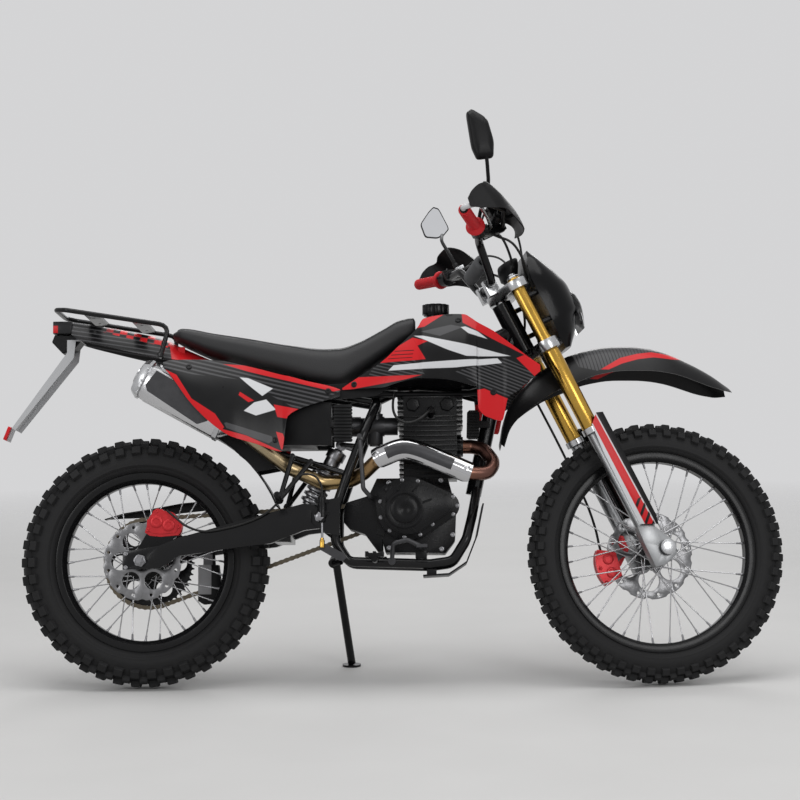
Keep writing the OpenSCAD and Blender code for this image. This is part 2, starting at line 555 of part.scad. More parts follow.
// Bodywork
module fuel_tank() {
    color("#171718") parked() difference() {
        union() {
            translate([100, 0, 960]) cylinder(h = 42, r = 26);
            hollowless([[-116, 789, 822, 40, 3], [-60, 789, 862, 76, 3], [0, 791, 899, 102, 3], [44, 793, 926, 114, 3],
                [54, 793, 972, 116, 3], [100, 790, 996, 124, 3], [160, 787, 1002, 126, 3], [188, 788, 992, 122, 3],
                [214, 794, 968, 108, 3], [236, 806, 934, 88, 2.6]], 24);
        }
        slab([[-140, 700], [-140, 800], [-20, 828], [120, 899], [260, 966], [260, 700]], -spine_r - 5, spine_r + 5);
    }
}
module fuel_cap() {
    color("#202022") parked() translate([100, 0, 1002 + gap]) {
        cylinder(h = 26, r = cap_r - 4);
        translate([0, 0, 4]) linear_extrude(26) difference() {
            circle(cap_r);
            for (i = [0 : 11]) rotate(30 * i) translate([cap_r + 2, 0]) circle(5, $fn = 16);
        }
    }
}
shroud_rows = [[-152, 789, 794, 108, 107, 0], [-100, 790, 828, 122, 112, 1], [-46, 791, 862, 136, 120, 3],
    [0, 803, 904, 150, 126, 5], [51, 813, 946, 164, 130, 6], [110, 809, 958, 174, 134, 8], [176, 794, 968, 184, 142, 9],
    [206, 786, 960, 186, 148, 9], [211, 724, 956, 184, 152, 8], [251, 697, 934, 186, 164, 6], [272, 694, 918, 187, 170, 5],
    [289, 756, 906, 190, 175, 4], [315, 773, 886, 192, 180, 3], [345, 799, 862, 194, 186, 2], [374, 824, 841, 194, 192, 0]];
module shrouds() {
    color("#a51c20") parked() for (s = [-1, 1]) {
        side_skin(shroud_rows, s);
        y_pin(100, 893, s > 0 ? 124 + gap : -160, s > 0 ? 160 : -124 - gap, 9);
    }
}
module seat() {
    color("#161617") parked() {
        hollowless([[-612, 940, 957, 66, 2.6], [-586, 926, 966, 98, 3], [-500, 888, 952, 112, 3.2], [-400, 858, 936, 118, 3.2],
            [-300, 833, 919, 112, 3.2], [-205, 808, 909, 98, 3.2], [-162, 804, 911, 90, 3.2], [-115, 836, 925, 82, 3.2],
            [-44, 884, 962, 72, 3.2], [3, 916, 988, 64, 3], [38, 938, 994, 56, 3], [44, 946, 986, 46, 2.6]], 24);
        for (x = [-300, -420], s = [-1, 1]) translate([x, s * rail_half, 772 + 0.1647 * (-130 - x) + rail_r * 1.0135 + 8 * 0.1647 + gap])
            cylinder(h = 40, r = 8);
    }
}
panel_rows = [[-628, 848, 862, 160, 154, 0], [-612, 832, 868, 168, 148, 3], [-548, 746, 872, 180, 128, 12],
    [-479, 681, 869, 182, 122, 14], [-442, 659, 862, 180, 120, 14], [-380, 641, 848, 164, 114, 9],
    [-312, 621, 830, 148, 112, 7], [-297, 716, 827, 138, 112, 4], [-249, 743, 814, 128, 110, 3],
    [-180, 764, 798, 118, 108, 2], [-158, 771, 790, 113, 107, 1]];
module side_panels() {
    color("#2b2b2e") parked() for (s = [-1, 1]) {
        side_skin(panel_rows, s);
        for (q = [[-249, 789, 114], [-470, 826, 136]]) y_pin(q[0], q[1], s > 0 ? rail_half + rail_r + gap : -q[2],
            s > 0 ? q[2] : -rail_half - rail_r - gap, 7);
    }
}
module tail_fender() {
    color("#8f1a1f") parked() {
        arch_skin([[-892, 994, 52, 40], [-870, 991, 64, 54], [-801, 979, 76, 60], [-731, 965, 84, 63], [-640, 943, 92, 64],
            [-604, 925, 94, 48], [-540, 896, 94, 34], [-472, 866, 90, 26]], skin);
        // Ribs that rest on the seat rails
        for (s = [-1, 1]) translate([-600, s > 0 ? rail_half - 3 : -rail_half - 3, 849 + rail_r + gap + 1])
            cube([20, 6, 56]);
    }
}
module rear_lamps() {
    color("#5a1014") parked() {
        translate([-944, -42, 958]) cube([52 - gap, 84, 34]);
        slab([[-1056.4, 704.2], [-1070.4, 668.2], [-1079, 671.5], [-1065, 707.5]], -30, 30);
    }
}
rack_path = bent([[-641, 106, 884], [-618, 106, 968], [-900, 100, 1014], [-930, 76, 1018], [-930, -76, 1018],
    [-900, -100, 1014], [-618, -106, 968], [-641, -106, 884]], 26, 4);
module luggage_rack() {
    color("#141415") parked() {
        tube(rack_path, rack_r, 10);
        for (x = [-700, -830]) difference() {
            y = 968 + 46 * (-618 - x) / 282;
            translate([x - 18, -100, y - 4]) cube([36, 200, 8]);
            for (s = [-1, 1]) translate([x, s * 50, y - 20]) cylinder(h = 40, r = 4.25);
        }
        for (s = [-1, 1]) y_pin(-641, 888, s > 0 ? 92 + gap : -112, s > 0 ? 112 : -92 - gap, 8);
    }
}
module plate_bracket() {
    color("#c4c6c9") parked() difference() {
        union() {
            translate([-880, 0, 937]) cylinder(h = 50.6, r = 6);
            slab(strip([[-1052, 700], [-904, 905], [-904, 940], [-866, 940]], 3), -44, 44);
            slab(strip([[-1070, 668], [-1056, 704], [-1046, 712]], 3), -20, 20);
            for (s = [-1, 1]) slab([[-903, 905], [-1051, 700], [-1043, 694], [-886, 890], [-880, 938], [-903, 938]],
                s > 0 ? 41 : -44, s > 0 ? 44 : -41);
        }
        translate([-978, 0, 802.5]) rotate([0, -54.2, 0]) for (y = [-25, 25])
            translate([0, y, -30]) cylinder(h = 60, r = 3.2);
    }
}
module foot_pegs() {
    color("#3c3d40") parked() for (s = [-1, 1]) {
        // Rider
        y_pin(-66, 333, s > 0 ? cradle_half + cradle_r + gap : -222, s > 0 ? 222 : -cradle_half - cradle_r - gap, 9);
        for (x = [-90, -70, -50]) translate([x, s > 0 ? 140 : -224, 338]) cube([8, 84, 14]);
        for (y = [140, 166, 192, 218]) translate([-90, s > 0 ? y : -y - 6, 338]) cube([48, 6, 10]);
        // Passenger hanger
        for (e = [[-285, 611, rail_half + 10.7], [-236, 596, rail_half + 9.5]]) {
            rod([e[0], s * 122, e[1]], [-318, s * 150, 492], 6.5);
            rod([e[0], s * e[2], e[1]], [e[0], s * 128, e[1]], 7);
        }
        rod([-318, s * 138, 492], [-318, s * 236, 500], 9);
        translate([-318, s * 150, 492]) sphere(11);
    }
}
module foot_levers() {
    color("#77797d") parked() {
        // Brake pedal on the right
        tube(bent([[-22, -126, 330], [-18, -152, 376], [20, -156, 384], [58, -152, 366]], 14), 6);
        translate([44, -172, 364]) cube([28, 40, 8]);
        y_pin(-22, 330, -134, -cradle_half - cradle_r - gap, 10);
        // Gear lever on the left
        tube([[-14, 138, 396], [20, 142, 392], [128, 148, 384]], 5.5);
        y_pin(-14, 396, case_half + gap, 146, 8);
        y_pin(128, 384, 138, 178, 7);
        // Kick lever on the right
        tube(bent([[-78, -case_half - gap, 500], [-78, -146, 500], [-96, -160, 520], [-104, -160, 655]], 14), 6);
        y_pin(-104, 655, -206, -154, 6.5);
    }
}
module skid_plate() {
    color("#1b1b1d") parked() {
        slab(strip([[224, 482], [206, 396], [178, 326], [130, 294], [60, 290]], 4), -102, 102);
        for (s = [-1, 1]) translate([70, s > 0 ? 86 : -104, 294]) cube([26, 18, 322 - cradle_r - gap - 294 - 0.5]);
    }
}

// Steering, in the frame of the steering axis
module triple_clamps() {
    color("#a9acb0") steered() difference() {
        union() {
            for (z = [clamp_low, clamp_high]) translate([0, 0, z]) linear_extrude(z == clamp_low ? 28 : 24) hull() {
                circle(30);
                for (s = [-1, 1]) translate([tube_ahead, s * fork_half]) circle(tube_r + 8);
            }
            cylinder(h = clamp_high + 30, r = stem_r);
            // Lower halves of the bar clamps
            for (s = [-1, 1]) translate([-32, s * 44 - 14, clamp_high + 20]) cube([34, 28, 46]);
        }
        translate([0, 0, -10]) cylinder(h = clamp_low + 10, r = 40);
        for (s = [-1, 1]) translate([tube_ahead, s * fork_half, 0]) {
            cylinder(h = clamp_high - 20, r = tube_r - 2 + gap);
            cylinder(h = clamp_high + 60, r = tube_r - 4 + gap);
        }
        translate([-15, 0, bar_z]) rotate([90, 0, 0]) cylinder(h = 400, r = 11 + gap, center = true);
    }
}
bar_z = clamp_high + 52;
bar_path = bent([[-83, -bar_half, bar_z + 154], [-36, -262, bar_z + 112], [-18, -152, bar_z + 98], [-15, -82, bar_z],
    [-15, 82, bar_z], [-18, 152, bar_z + 98], [-36, 262, bar_z + 112], [-83, bar_half, bar_z + 154]], 40, 4);
module handlebar() {
    color("#2b2c2f") steered() {
        tube(bar_path, 11, 14);
        translate([-16.5, 0, bar_z + 58]) rotate([90, 0, 0]) cylinder(h = 236, r = 6.5, center = true);
    }
}
module bar_pad() {
    color("#6d6f72") steered() translate([-16.5, 0, bar_z + 58]) rotate([90, 0, 0]) difference() {
        cylinder(h = 176, r = 21, center = true);
        cylinder(h = 200, r = 6.5 + gap, center = true);
    }
}
grip_dir = unit([-83 + 36, bar_half - 262, 42]);
module grips() {
    color("#a51c20") steered() for (s = [-1, 1]) difference() {
        union() {
            rod([-36, s * 262, bar_z + 112] + 22 * [grip_dir.x, s * grip_dir.y, grip_dir.z],
                [-83, s * bar_half, bar_z + 154] - 3 * [grip_dir.x, s * grip_dir.y, grip_dir.z], 16);
            rod([-36, s * 262, bar_z + 112] + 22 * [grip_dir.x, s * grip_dir.y, grip_dir.z],
                [-36, s * 262, bar_z + 112] + 27 * [grip_dir.x, s * grip_dir.y, grip_dir.z], 22);
        }
        rod([-36, s * 262, bar_z + 112], [-83, s * bar_half, bar_z + 154] + 30 * [grip_dir.x, s * grip_dir.y, grip_dir.z],
            11 + gap);
    }
}
guard_rows = [[190, 60, 908, 54, 960], [128, 64, 900, 42, 1026], [68, 58, 902, 20, 1058], [18, 34, 938, 4, 1052],
    [-23.5, 6, 964, 0, 1036]];
module hand_guards() {
    color("#19191b") steered() translate([0, 0, bar_z - 850]) for (s = [-1, 1]) {
        rod([37.6, s * (bar_half - 108), 955], [63, s * (bar_half - 108), 955], 5);
        // Cheek round the bar end
        slab([[-72, 1000], [-58, 1030], [-20, 1044], [8, 1034], [10, 962], [-5, 966], [-44, 984]],
            s * (bar_half + 21.75) - 1.75, s * (bar_half + 21.75) + 1.75);
        // Shield: distance in from the bar end, then x and z of the lower and upper edge
        loft([for (i = [0 : len(guard_rows) - 1]) let (q = guard_rows[s > 0 ? len(guard_rows) - 1 - i : i], n = 4)
            concat([for (k = [0 : n]) let (v = k / n) [q[1] + (q[3] - q[1]) * v + 14 * 4 * v * (1 - v),
                    s * (bar_half - q[0]), q[2] + (q[4] - q[2]) * v]],
                [for (k = [n : -1 : 0]) let (v = k / n) [q[1] + (q[3] - q[1]) * v + 14 * 4 * v * (1 - v) - skin,
                    s * (bar_half - q[0]), q[2] + (q[4] - q[2]) * v]])]);
    }
}
module guard_bars() {
    color("#b5b8bb") steered() for (s = [-1, 1]) {
        e = [-83, s * bar_half, bar_z + 154] + (gap + 2) * [grip_dir.x, s * grip_dir.y, grip_dir.z];
        tube(bent([e, e + 10 * [grip_dir.x, s * grip_dir.y, grip_dir.z], [-34, s * (bar_half + 11), bar_z + 148],
            [26, s * (bar_half - 48), bar_z + 116], [34, s * 240, bar_z + 96], [24, s * 178, bar_z + 101.3], [-10.2, s * 178, bar_z + 101.3]], 22, 4), 7, 10);
    }
}
module hand_levers() {
    color("#8f9296") steered() for (s = [-1, 1]) {
        tube(bent([[0, s * 226, bar_z + 107], [0, s * 262, bar_z + 106], [-14, s * 320, bar_z + 122],
            [-38, s * 394, bar_z + 140]], 20, 3), 5, 8);
        translate([-13.9, s * 214 - 16, bar_z + 94]) cube([25, 32, 26]);
    }
}
// Mirror outlines in the side view, x then z, straight ahead
mirror_r = [[133, 1466], [147, 1478], [178, 1460], [191, 1446], [206, 1390], [204, 1347], [160, 1340], [146, 1372]];
mirror_l = [[103, 1338], [128, 1376], [142, 1391], [158, 1386], [188, 1326], [172, 1306], [152, 1297], [117, 1299]];
module mirrors() {
    color("#1a1a1c") steered() {
        slab([for (q = mirror_r) let (p = st(q[0], 0, q[1])) [p.x, p.z + bar_z - 850]], -345, -323);
        slab([for (q = mirror_l) let (p = st(q[0], 0, q[1])) [p.x, p.z + bar_z - 850]], 290, 312);
        tube(bent([[-6, -212, bar_z + 120 + gap], [-6, -212, bar_z + 150], [34, -290, bar_z + 200],
            st(186, -334, 1352) + [0, 0, bar_z - 850]], 30, 3), 5.5, 8);
        tube(bent([[-6, 212, bar_z + 120 + gap], [-6, 212, bar_z + 150], [0, 244, bar_z + 214],
            st(168, 301, 1312) + [0, 0, bar_z - 850]], 30, 3), 5.5, 8);
    }
}
mask_rows = [[602, 90, 116, 56], [640, 80, 150, 86], [671, 79, 166, 100], [692, 79, 184, 104], [754, 79, 186, 108],
    [800, 80, 172, 106], [828, 84, 160, 100], [860, 100, 143, 86], [888, 116, 127, 58]];
function dee(z, b, f, w) = [for (a = [-90 : 15 : 90]) [b + (f - b) * pow(max(0, cos(a)), 0.7), w * sin(a), z]];
module headlamp_mask() {
    color("#151517") steered() {
        difference() {
            loft([for (q = mask_rows) dee(q[0], q[1], q[2], q[3])]);
            translate([146, -66, 612]) cube([80, 132, 130]);
        }
        for (s = [-1, 1], z = [690, 770]) translate([0, s * 92, z]) rotate([0, 90, 0]) {
            translate([0, 0, tube_ahead + tube_r - 4 + 0.8]) cylinder(h = 82 - tube_ahead - tube_r + 4, r = 7);
        }
    }
}
module headlamp_lens() {
    color("#c8ccd0") steered() loft([for (q = [[613, 150, 22], [630, 168, 48], [662, 184, 62], [700, 194, 65],
        [724, 192, 62], [741, 184, 52]]) dee(q[0], 146 + gap, q[1], q[2])]);
}
module front_fender() {
    color("#161617") steered() {
        arch_skin([[-184, 452, 34, 16], [-150, 496, 40, 26], [-110, 533, 46, 44], [-50, 562, 58, 60], [0, 577, 64, 70],
            [46, 583, 68, 78], [95, 584, 70, 82], [170, 571, 72, 84], [252, 540, 72, 88], [326, 494, 70, 88],
            [388, 426, 64, 80], [430, 368, 54, 58], [458, 318, 34, 24]], skin + 0.5);
        for (q = [[0, 8], [40, 8]]) translate([q[0], 0, 560]) cylinder(h = clamp_low - gap - 560, r = q[1]);
    }
}
module fork_tubes() {
    color("#b98a35") steered() for (s = [-1, 1]) translate([tube_ahead, s * fork_half, 0]) difference() {
        rotate_extrude() polygon([[0, 362], [tube_r, 362], [tube_r, clamp_low - 6], [tube_r - 2, clamp_low - 2],
            [tube_r - 2, clamp_low + 34], [tube_r - 4, clamp_low + 38], [tube_r - 4, clamp_high + 28],
            [tube_r - 8, clamp_high + 32], [0, clamp_high + 32]]);
        translate([0, 0, 350]) cylinder(h = 34, r = slider_r + gap);
    }
}
module fork_legs() {
    color("#c3c6ca") steered() for (s = [-1, 1]) difference() {
        union() {
            translate([tube_ahead, s * fork_half, 10]) cylinder(h = 370, r = slider_r);
            translate([0, s * fork_half, 0])
                slab([[12, -32], [40, -38], [80, -26], [92, 0], [82, 22], [62, 62], [52, 84], [18, 84], [14, 40]], -19, 19);
        }
        translate(wheel_f) rotate([90, 0, 0]) cylinder(h = 400, r = axle_r + gap, center = true);
    }
}
module front_axle() {
    color("#b9bcc0") at_front() difference() {
        union() {
            translate([0, 0, -fork_half - 28]) cylinder(h = 2 * fork_half + 56, r = axle_r);
            translate([0, 0, -fork_half - 28]) cylinder(h = 9 - gap, r = 15, $fn = 6);
            translate([0, 0, -fork_half + 19 + gap]) cylinder(h = fork_half - 19 - gap - 60.5, r = 14);
            translate([0, 0, 66.2]) cylinder(h = fork_half - 19 - gap - 66.2, r = 14);
        }
        translate([0, 0, -fork_half - 29]) cylinder(h = 16, r = 6, $fn = 6);
    }
}
module fork_guards() {
    color("#c9c9c9") steered() for (s = [-1, 1]) {
        slab([[24, 88], [70, 66], [76, 90], [77, 398], [60, 404], [34, 380], [27, 300]], s > 0 ? 125 : -129, s > 0 ? 129 : -125);
        slab([[69, 70], [75, 92], [76, 394], [72, 396], [71, 92], [66, 72]], s > 0 ? 84 : -127, s > 0 ? 127 : -84);
        for (z = [96, 330]) translate([0, s * 110, z]) rotate([0, 90, 0])
            translate([0, 0, tube_ahead + slider_r + gap]) cylinder(h = 22, r = 6);
    }
}
module front_caliper() {
    color("#8f1a1f") steered() difference() {
        union() {
            slab([[-86, -12], [-92, 34], [-58, 66], [-20, 60], [-14, 10], [-44, -18]], 54, 84);
            slab([[-60, 0], [-60, 50], [12 - gap, 62], [12 - gap, -10]], 86, 100);
            slab([[-70, 0], [-70, 44], [-20, 52], [-20, -6]], 80, 92);
        }
        translate([wheel_f.x, 64.4, 0]) rotate([-90, 0, 0]) cylinder(h = 7.2, r = front_disc_r + 4);
    }
}
// Side stand, in the parked frame
stand_w = world(stand_top);
stand_ax = leaned(stand_axis);
stand_foot = [world([-146, 0, 0]).x, shift.y + stand_reach, 0];
module side_stand() {
    color("#202123") {
        difference() {
            union() {
                rod(stand_w - 14 * stand_ax, stand_w + 14 * stand_ax, 15);
                rod(stand_w, stand_foot + [0, 0, 9], leg_r);
            }
            rod(stand_w - 40 * stand_ax, stand_w + 40 * stand_ax, 6 + run);
            translate(stand_foot - [60, 60, 40]) cube([120, 120, 40]);
        }
        translate(stand_foot) cylinder(h = 6, r = 26);
    }
}

main_frame();
subframe();
swingarm();
rear_axle_set();
chain();
chain_guards();
rear_shock();
rear_caliper();
mud_guard();
crankcase();
engine_covers();
cylinder_block();
carburettor();
airbox();
exhaust_pipe();
heat_shield();
silencer();
fuel_tank();
fuel_cap();
shrouds();
seat();
side_panels();
tail_fender();
rear_lamps();
luggage_rack();
plate_bracket();
foot_pegs();
foot_levers();
skid_plate();
triple_clamps();
handlebar();
bar_pad();
grips();
hand_guards();
guard_bars();
hand_levers();
mirrors();
headlamp_mask();
headlamp_lens();
front_fender();
fork_tubes();
fork_legs();
front_axle();
fork_guards();
front_caliper();
front_tyre();
front_rim();
front_spokes();
front_hub();
front_disc();
rear_tyre();
rear_rim();
rear_spokes();
rear_hub();
rear_disc();
rear_sprocket();
side_stand();
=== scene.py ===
# %% [markdown]
# # A trail motorcycle, dressed in Blender
# The solids of the bike come in ready made: parked on the side stand, leaning left, bars turned a
# little. This lesson keeps the solids that already have the right shape and gives them finishes. Tyres,
# seat, panels, chain and calipers are made again in finer detail, and hoses, screws, fins and controls
# are added.

# %% Load the solids
import math

import bmesh
import bpy
import numpy as np
from mathutils import Matrix, Vector


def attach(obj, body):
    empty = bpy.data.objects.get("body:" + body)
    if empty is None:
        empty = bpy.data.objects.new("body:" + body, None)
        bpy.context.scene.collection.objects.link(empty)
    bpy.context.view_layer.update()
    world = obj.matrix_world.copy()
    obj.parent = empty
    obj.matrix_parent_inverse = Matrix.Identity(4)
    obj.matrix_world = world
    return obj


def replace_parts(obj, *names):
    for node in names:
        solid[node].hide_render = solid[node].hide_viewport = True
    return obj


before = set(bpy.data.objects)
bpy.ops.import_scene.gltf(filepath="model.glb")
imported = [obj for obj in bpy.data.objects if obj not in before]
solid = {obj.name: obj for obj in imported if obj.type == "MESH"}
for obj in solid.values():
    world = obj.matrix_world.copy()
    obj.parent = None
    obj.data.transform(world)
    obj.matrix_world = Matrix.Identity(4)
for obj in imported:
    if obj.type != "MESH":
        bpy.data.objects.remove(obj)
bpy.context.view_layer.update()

# %% [markdown]
# A bike is easiest to describe standing upright, in millimetres: x forward, y to the rider's left, z
# up. The fork has a frame of its own along the steering axis, and each wheel has one along its axle.
# One matrix for each frame takes such points to their parked places in metres. Pieces could be turned
# by hand one by one instead, but with the matrices no piece is fitted by eye.

# %% Frames of the bike
def turned(axis, degrees):
    return Matrix.Rotation(math.radians(degrees), 4, axis)


PARKED_AT = (0.019, -0.2063, 0.0020005)
NOSE_DOWN = 0.124276
LEAN = 10
RAKE = 26.5
BARS_TURN = 10
BAR_Z = 850
FORK_FOOT = (632.724, 0, 323.443)
AXLE_AHEAD = 64
REAR_X, REAR_Z = -690, 336
UPRIGHT = (Matrix.Translation(PARKED_AT) @ turned("Y", NOSE_DOWN) @ turned("X", -LEAN)
           @ Matrix.Scale(0.001, 4))
STEERING = UPRIGHT @ Matrix.Translation(FORK_FOOT) @ turned("Y", -RAKE) @ turned("Z", BARS_TURN)
FRONT_AXLE = STEERING @ Matrix.Translation((AXLE_AHEAD, 0, 0)) @ turned("X", -90)
REAR_AXLE = UPRIGHT @ Matrix.Translation((REAR_X, 0, REAR_Z)) @ turned("X", -90)


def straight(x, y, z):
    """A point of the bike with its bars straight, in the steering's own frame."""
    return turned("Y", RAKE) @ (Vector((x, y, z)) - Vector(FORK_FOOT))


print("front axle at", [round(v, 4) for v in FRONT_AXLE.translation])

# %% [markdown]
# The camera is fitted to the photograph: its place, its tilt and its focal length came from the two
# wheels, whose sizes are known. It could be set by eye in the viewport, but then outlines would not
# line up. A long lens keeps the wheels nearly round.

# %% Camera
SENSOR = 36
PHOTO_WIDTH = 800


def look_from(place, yaw, pitch, roll, focal_pixels):
    yaw, pitch, roll = (math.radians(a) for a in (yaw, pitch, roll))
    ahead = Vector((math.sin(yaw) * math.cos(pitch), math.cos(yaw) * math.cos(pitch), math.sin(pitch)))
    right = ahead.cross(Vector((0, 0, 1))).normalized()
    up = right.cross(ahead)
    right, up = right * math.cos(roll) + up * math.sin(roll), up * math.cos(roll) - right * math.sin(roll)
    lens = bpy.data.cameras.new("photo_lens")
    lens.sensor_width = SENSOR
    lens.lens = SENSOR * focal_pixels / PHOTO_WIDTH
    camera = bpy.data.objects.new("photo_camera", lens)
    camera.matrix_world = Matrix((right, up, -ahead)).transposed().to_4x4()
    camera.location = place
    bpy.context.scene.collection.objects.link(camera)
    bpy.context.scene.camera = camera
    return camera


camera = look_from((0.112, -5.8033, 1.111), yaw=-0.909, pitch=-3.477, roll=-0.701, focal_pixels=2105.3)
print("lens", round(camera.data.lens, 1), "mm")

# %% [markdown]
# Shaders are sums over the surface, so a small class lets them be written as sums. It wraps one socket:
# adding, taking away or scaling it makes the Math node that does so. One method makes every other kind
# of node, with its settings first and its sockets after.

# %% Sums of sockets
class Wire:
    tree = None

    def __init__(self, socket):
        self.socket = socket

    @staticmethod
    def node(kind, put=None, out=0, stops=None, **settings):
        made = Wire.tree.nodes.new(kind)
        for name, value in settings.items():
            setattr(made, name, value)
        if stops:
            ramp = made.color_ramp.elements
            while len(ramp) < len(stops):
                ramp.new(0.5)
            for element, (place, colour) in zip(ramp, stops):
                element.position = place
                element.color = (*colour, 1)
        for name, value in (put or {}).items():
            if isinstance(value, Wire):
                Wire.tree.links.new(value.socket, made.inputs[name])
            else:
                made.inputs[name].default_value = value
        return Wire(made.outputs[out])

    def calc(self, operation, other=0.0, swap=False, clamp=False):
        first, second = (other, self) if swap else (self, other)
        return Wire.node("ShaderNodeMath", {0: first, 1: second}, operation=operation, use_clamp=clamp)

    def __add__(self, other):
        return self.calc("ADD", other)

    def __sub__(self, other):
        return self.calc("SUBTRACT", other)

    def __rsub__(self, other):
        return self.calc("SUBTRACT", other, swap=True)

    def __mul__(self, other):
        return self.calc("MULTIPLY", other)

    def __truediv__(self, other):
        return self.calc("DIVIDE", other)

    def __rtruediv__(self, other):
        return self.calc("DIVIDE", other, swap=True)

    __radd__ = __add__
    __rmul__ = __mul__

    def over(self, edge, soft):
        """0 below the edge, 1 above it, with a soft step between."""
        return ((self - edge) / soft).calc("ADD", 0.5, clamp=True)


def at_rest():
    return Wire.node("ShaderNodeTexCoord", out="Object")


def spots(scale, detail=2.0):
    return Wire.node("ShaderNodeTexNoise", {"Vector": at_rest(), "Scale": scale, "Detail": detail})


def mixed(factor, low, high):
    """Colour low where factor is 0, high where it is 1."""
    first, second = (c if isinstance(c, Wire) else (*c, 1) for c in (low, high))
    return Wire.node("ShaderNodeMix", {0: factor, 6: first, 7: second}, out=2, data_type="RGBA")


def finish(name, constants):
    made = bpy.data.materials.new(name)
    made.use_nodes = True
    Wire.tree = made.node_tree
    shader = Wire.tree.nodes["Principled BSDF"]
    for socket, value in constants.items():
        shader.inputs[socket].default_value = value
    return made, shader


def feed(shader, **wires):
    for name, wire in wires.items():
        Wire.tree.links.new(wire.socket, shader.inputs[name.replace("_", " ")])


def dented(height, distance, strength=1.0):
    return Wire.node("ShaderNodeBump", {"Height": height, "Distance": distance, "Strength": strength})


print("socket sums ready")

# %% [markdown]
# Most parts of a bike are one colour with a little life in it: paint with faint orange peel, cast metal
# with a sandy skin, moulded plastic with a leather-like grain, metal with fine brushing. Each could
# have a node tree of its own, but they differ only in numbers, so one function makes them all: broad
# spots vary the colour and the gloss, fine spots raise the grain.

# %% Plain finishes
def plain(name, colour, rough, metal=0.0, shine=0.5, vary=0.12, broad=35, grain=0, depth=0.0, dull=0.14):
    made, shader = finish(name, {"Metallic": metal, "Specular IOR Level": shine})
    patch = spots(broad, 4)
    low = [c * (1 - vary) for c in colour]
    high = [min(1, c * (1 + vary)) for c in colour]
    feed(shader, Base_Color=mixed(patch, low, high), Roughness=(patch - 0.5) * dull + rough)
    if grain:
        feed(shader, Normal=dented(spots(grain, 3), depth))
    return made


# name: colour, rough, metal, shine, vary, broad, grain, depth
PLAIN = {
    "frame_gloss_black": ((0.005, 0.005, 0.0055), 0.2, 0.0, 0.26, 0.2, 20, 180, 0.0002),
    "engine_satin_black": ((0.004, 0.004, 0.0045), 0.28, 0.0, 0.18, 0.2, 60, 500, 0.0003),
    "moulded_black": ((0.005, 0.005, 0.0055), 0.38, 0.0, 0.17, 0.2, 40, 600, 0.0003),
    "gloss_black_plastic": ((0.004, 0.004, 0.0045), 0.18, 0.0, 0.16, 0.2, 25, 200, 0.0001),
    "red_anodised": ((0.5, 0.012, 0.018), 0.34, 0.35, 0.5, 0.2, 60, 500, 0.0003),
    "tyre_rubber": ((0.011, 0.011, 0.0115), 0.7, 0.0, 0.26, 0.35, 60, 300, 0.0006),
    "rim_black": ((0.005, 0.005, 0.0055), 0.26, 0.0, 0.22, 0.2, 40, 300, 0.0001),
    "spoke_steel": ((0.42, 0.42, 0.43), 0.25, 1.0, 0.5, 0.1, 90, 0, 0.0),
    "disc_steel": ((0.2, 0.2, 0.205), 0.3, 1.0, 0.5, 0.15, 120, 300, 0.00002),
    "chrome": ((0.52, 0.52, 0.53), 0.08, 1.0, 0.5, 0.06, 30, 0, 0.0),
    "cast_alloy": ((0.27, 0.275, 0.28), 0.38, 1.0, 0.5, 0.12, 80, 400, 0.00008),
    "bright_alloy": ((0.5, 0.505, 0.515), 0.27, 1.0, 0.5, 0.08, 60, 300, 0.00002),
    "gold_anodised": ((0.5, 0.3, 0.06), 0.24, 1.0, 0.5, 0.1, 40, 300, 0.0001),
    "zinc_steel": ((0.26, 0.26, 0.27), 0.34, 1.0, 0.5, 0.15, 90, 300, 0.00003),
    "gun_grey": ((0.05, 0.05, 0.053), 0.38, 0.6, 0.4, 0.2, 60, 400, 0.0002),
    "oiled_chain": ((0.14, 0.12, 0.09), 0.36, 1.0, 0.5, 0.25, 200, 400, 0.0001),
    "grip_rubber": ((0.5, 0.014, 0.02), 0.55, 0.0, 0.3, 0.12, 90, 500, 0.0003),
    "grey_foam": ((0.1, 0.102, 0.106), 0.85, 0.0, 0.2, 0.2, 90, 400, 0.0006),
    "hose_black": ((0.006, 0.006, 0.006), 0.38, 0.0, 0.3, 0.2, 200, 400, 0.0001),
    "plate_grey": ((0.42, 0.425, 0.435), 0.42, 0.0, 0.4, 0.05, 20, 0, 0.0),
    "lamp_smoke": ((0.012, 0.006, 0.007), 0.1, 0.0, 0.5, 0.2, 60, 0, 0.0),
    "mirror_glass": ((0.8, 0.81, 0.83), 0.03, 1.0, 0.5, 0.02, 30, 0, 0.0),
}
look = {name: plain(name, *row) for name, row in PLAIN.items()}
print(len(look), "plain finishes")

# %% [markdown]
# Four finishes need their own sums. The seat cover is embossed vinyl: small cells press the grain. The
# header pipe is tinted by heat, bronze near the head and straw further back, so a ramp along the bike
# gives its colour. Rolled silencer metal shows long fine lines along its axis, which are noise in one
# direction only. The lamp glass is clear.

# %% Vinyl, hot pipe, rolled metal and glass
TO_UPRIGHT = UPRIGHT.inverted()
TO_STEERING = STEERING.inverted()


def along(matrix, row):
    """One coordinate, in millimetres, of a point of the surface in a frame of the bike."""
    sockets = {0: at_rest(), 1: matrix[row][:3]}
    return Wire.node("ShaderNodeVectorMath", sockets, out="Value", operation="DOT_PRODUCT") + matrix[row][3]


def vinyl():
    made, shader = finish("seat_vinyl", {"Specular IOR Level": 0.4})
    cells = Wire.node("ShaderNodeTexVoronoi", {"Vector": at_rest(), "Scale": 520.0}, out="Distance")
    patch = spots(14, 3)
    feed(shader, Base_Color=mixed(patch, (0.011, 0.011, 0.012), (0.02, 0.02, 0.021)),
         Roughness=(patch - 0.5) * 0.16 + 0.56, Normal=dented(cells, 0.0006, 0.7))
    return made


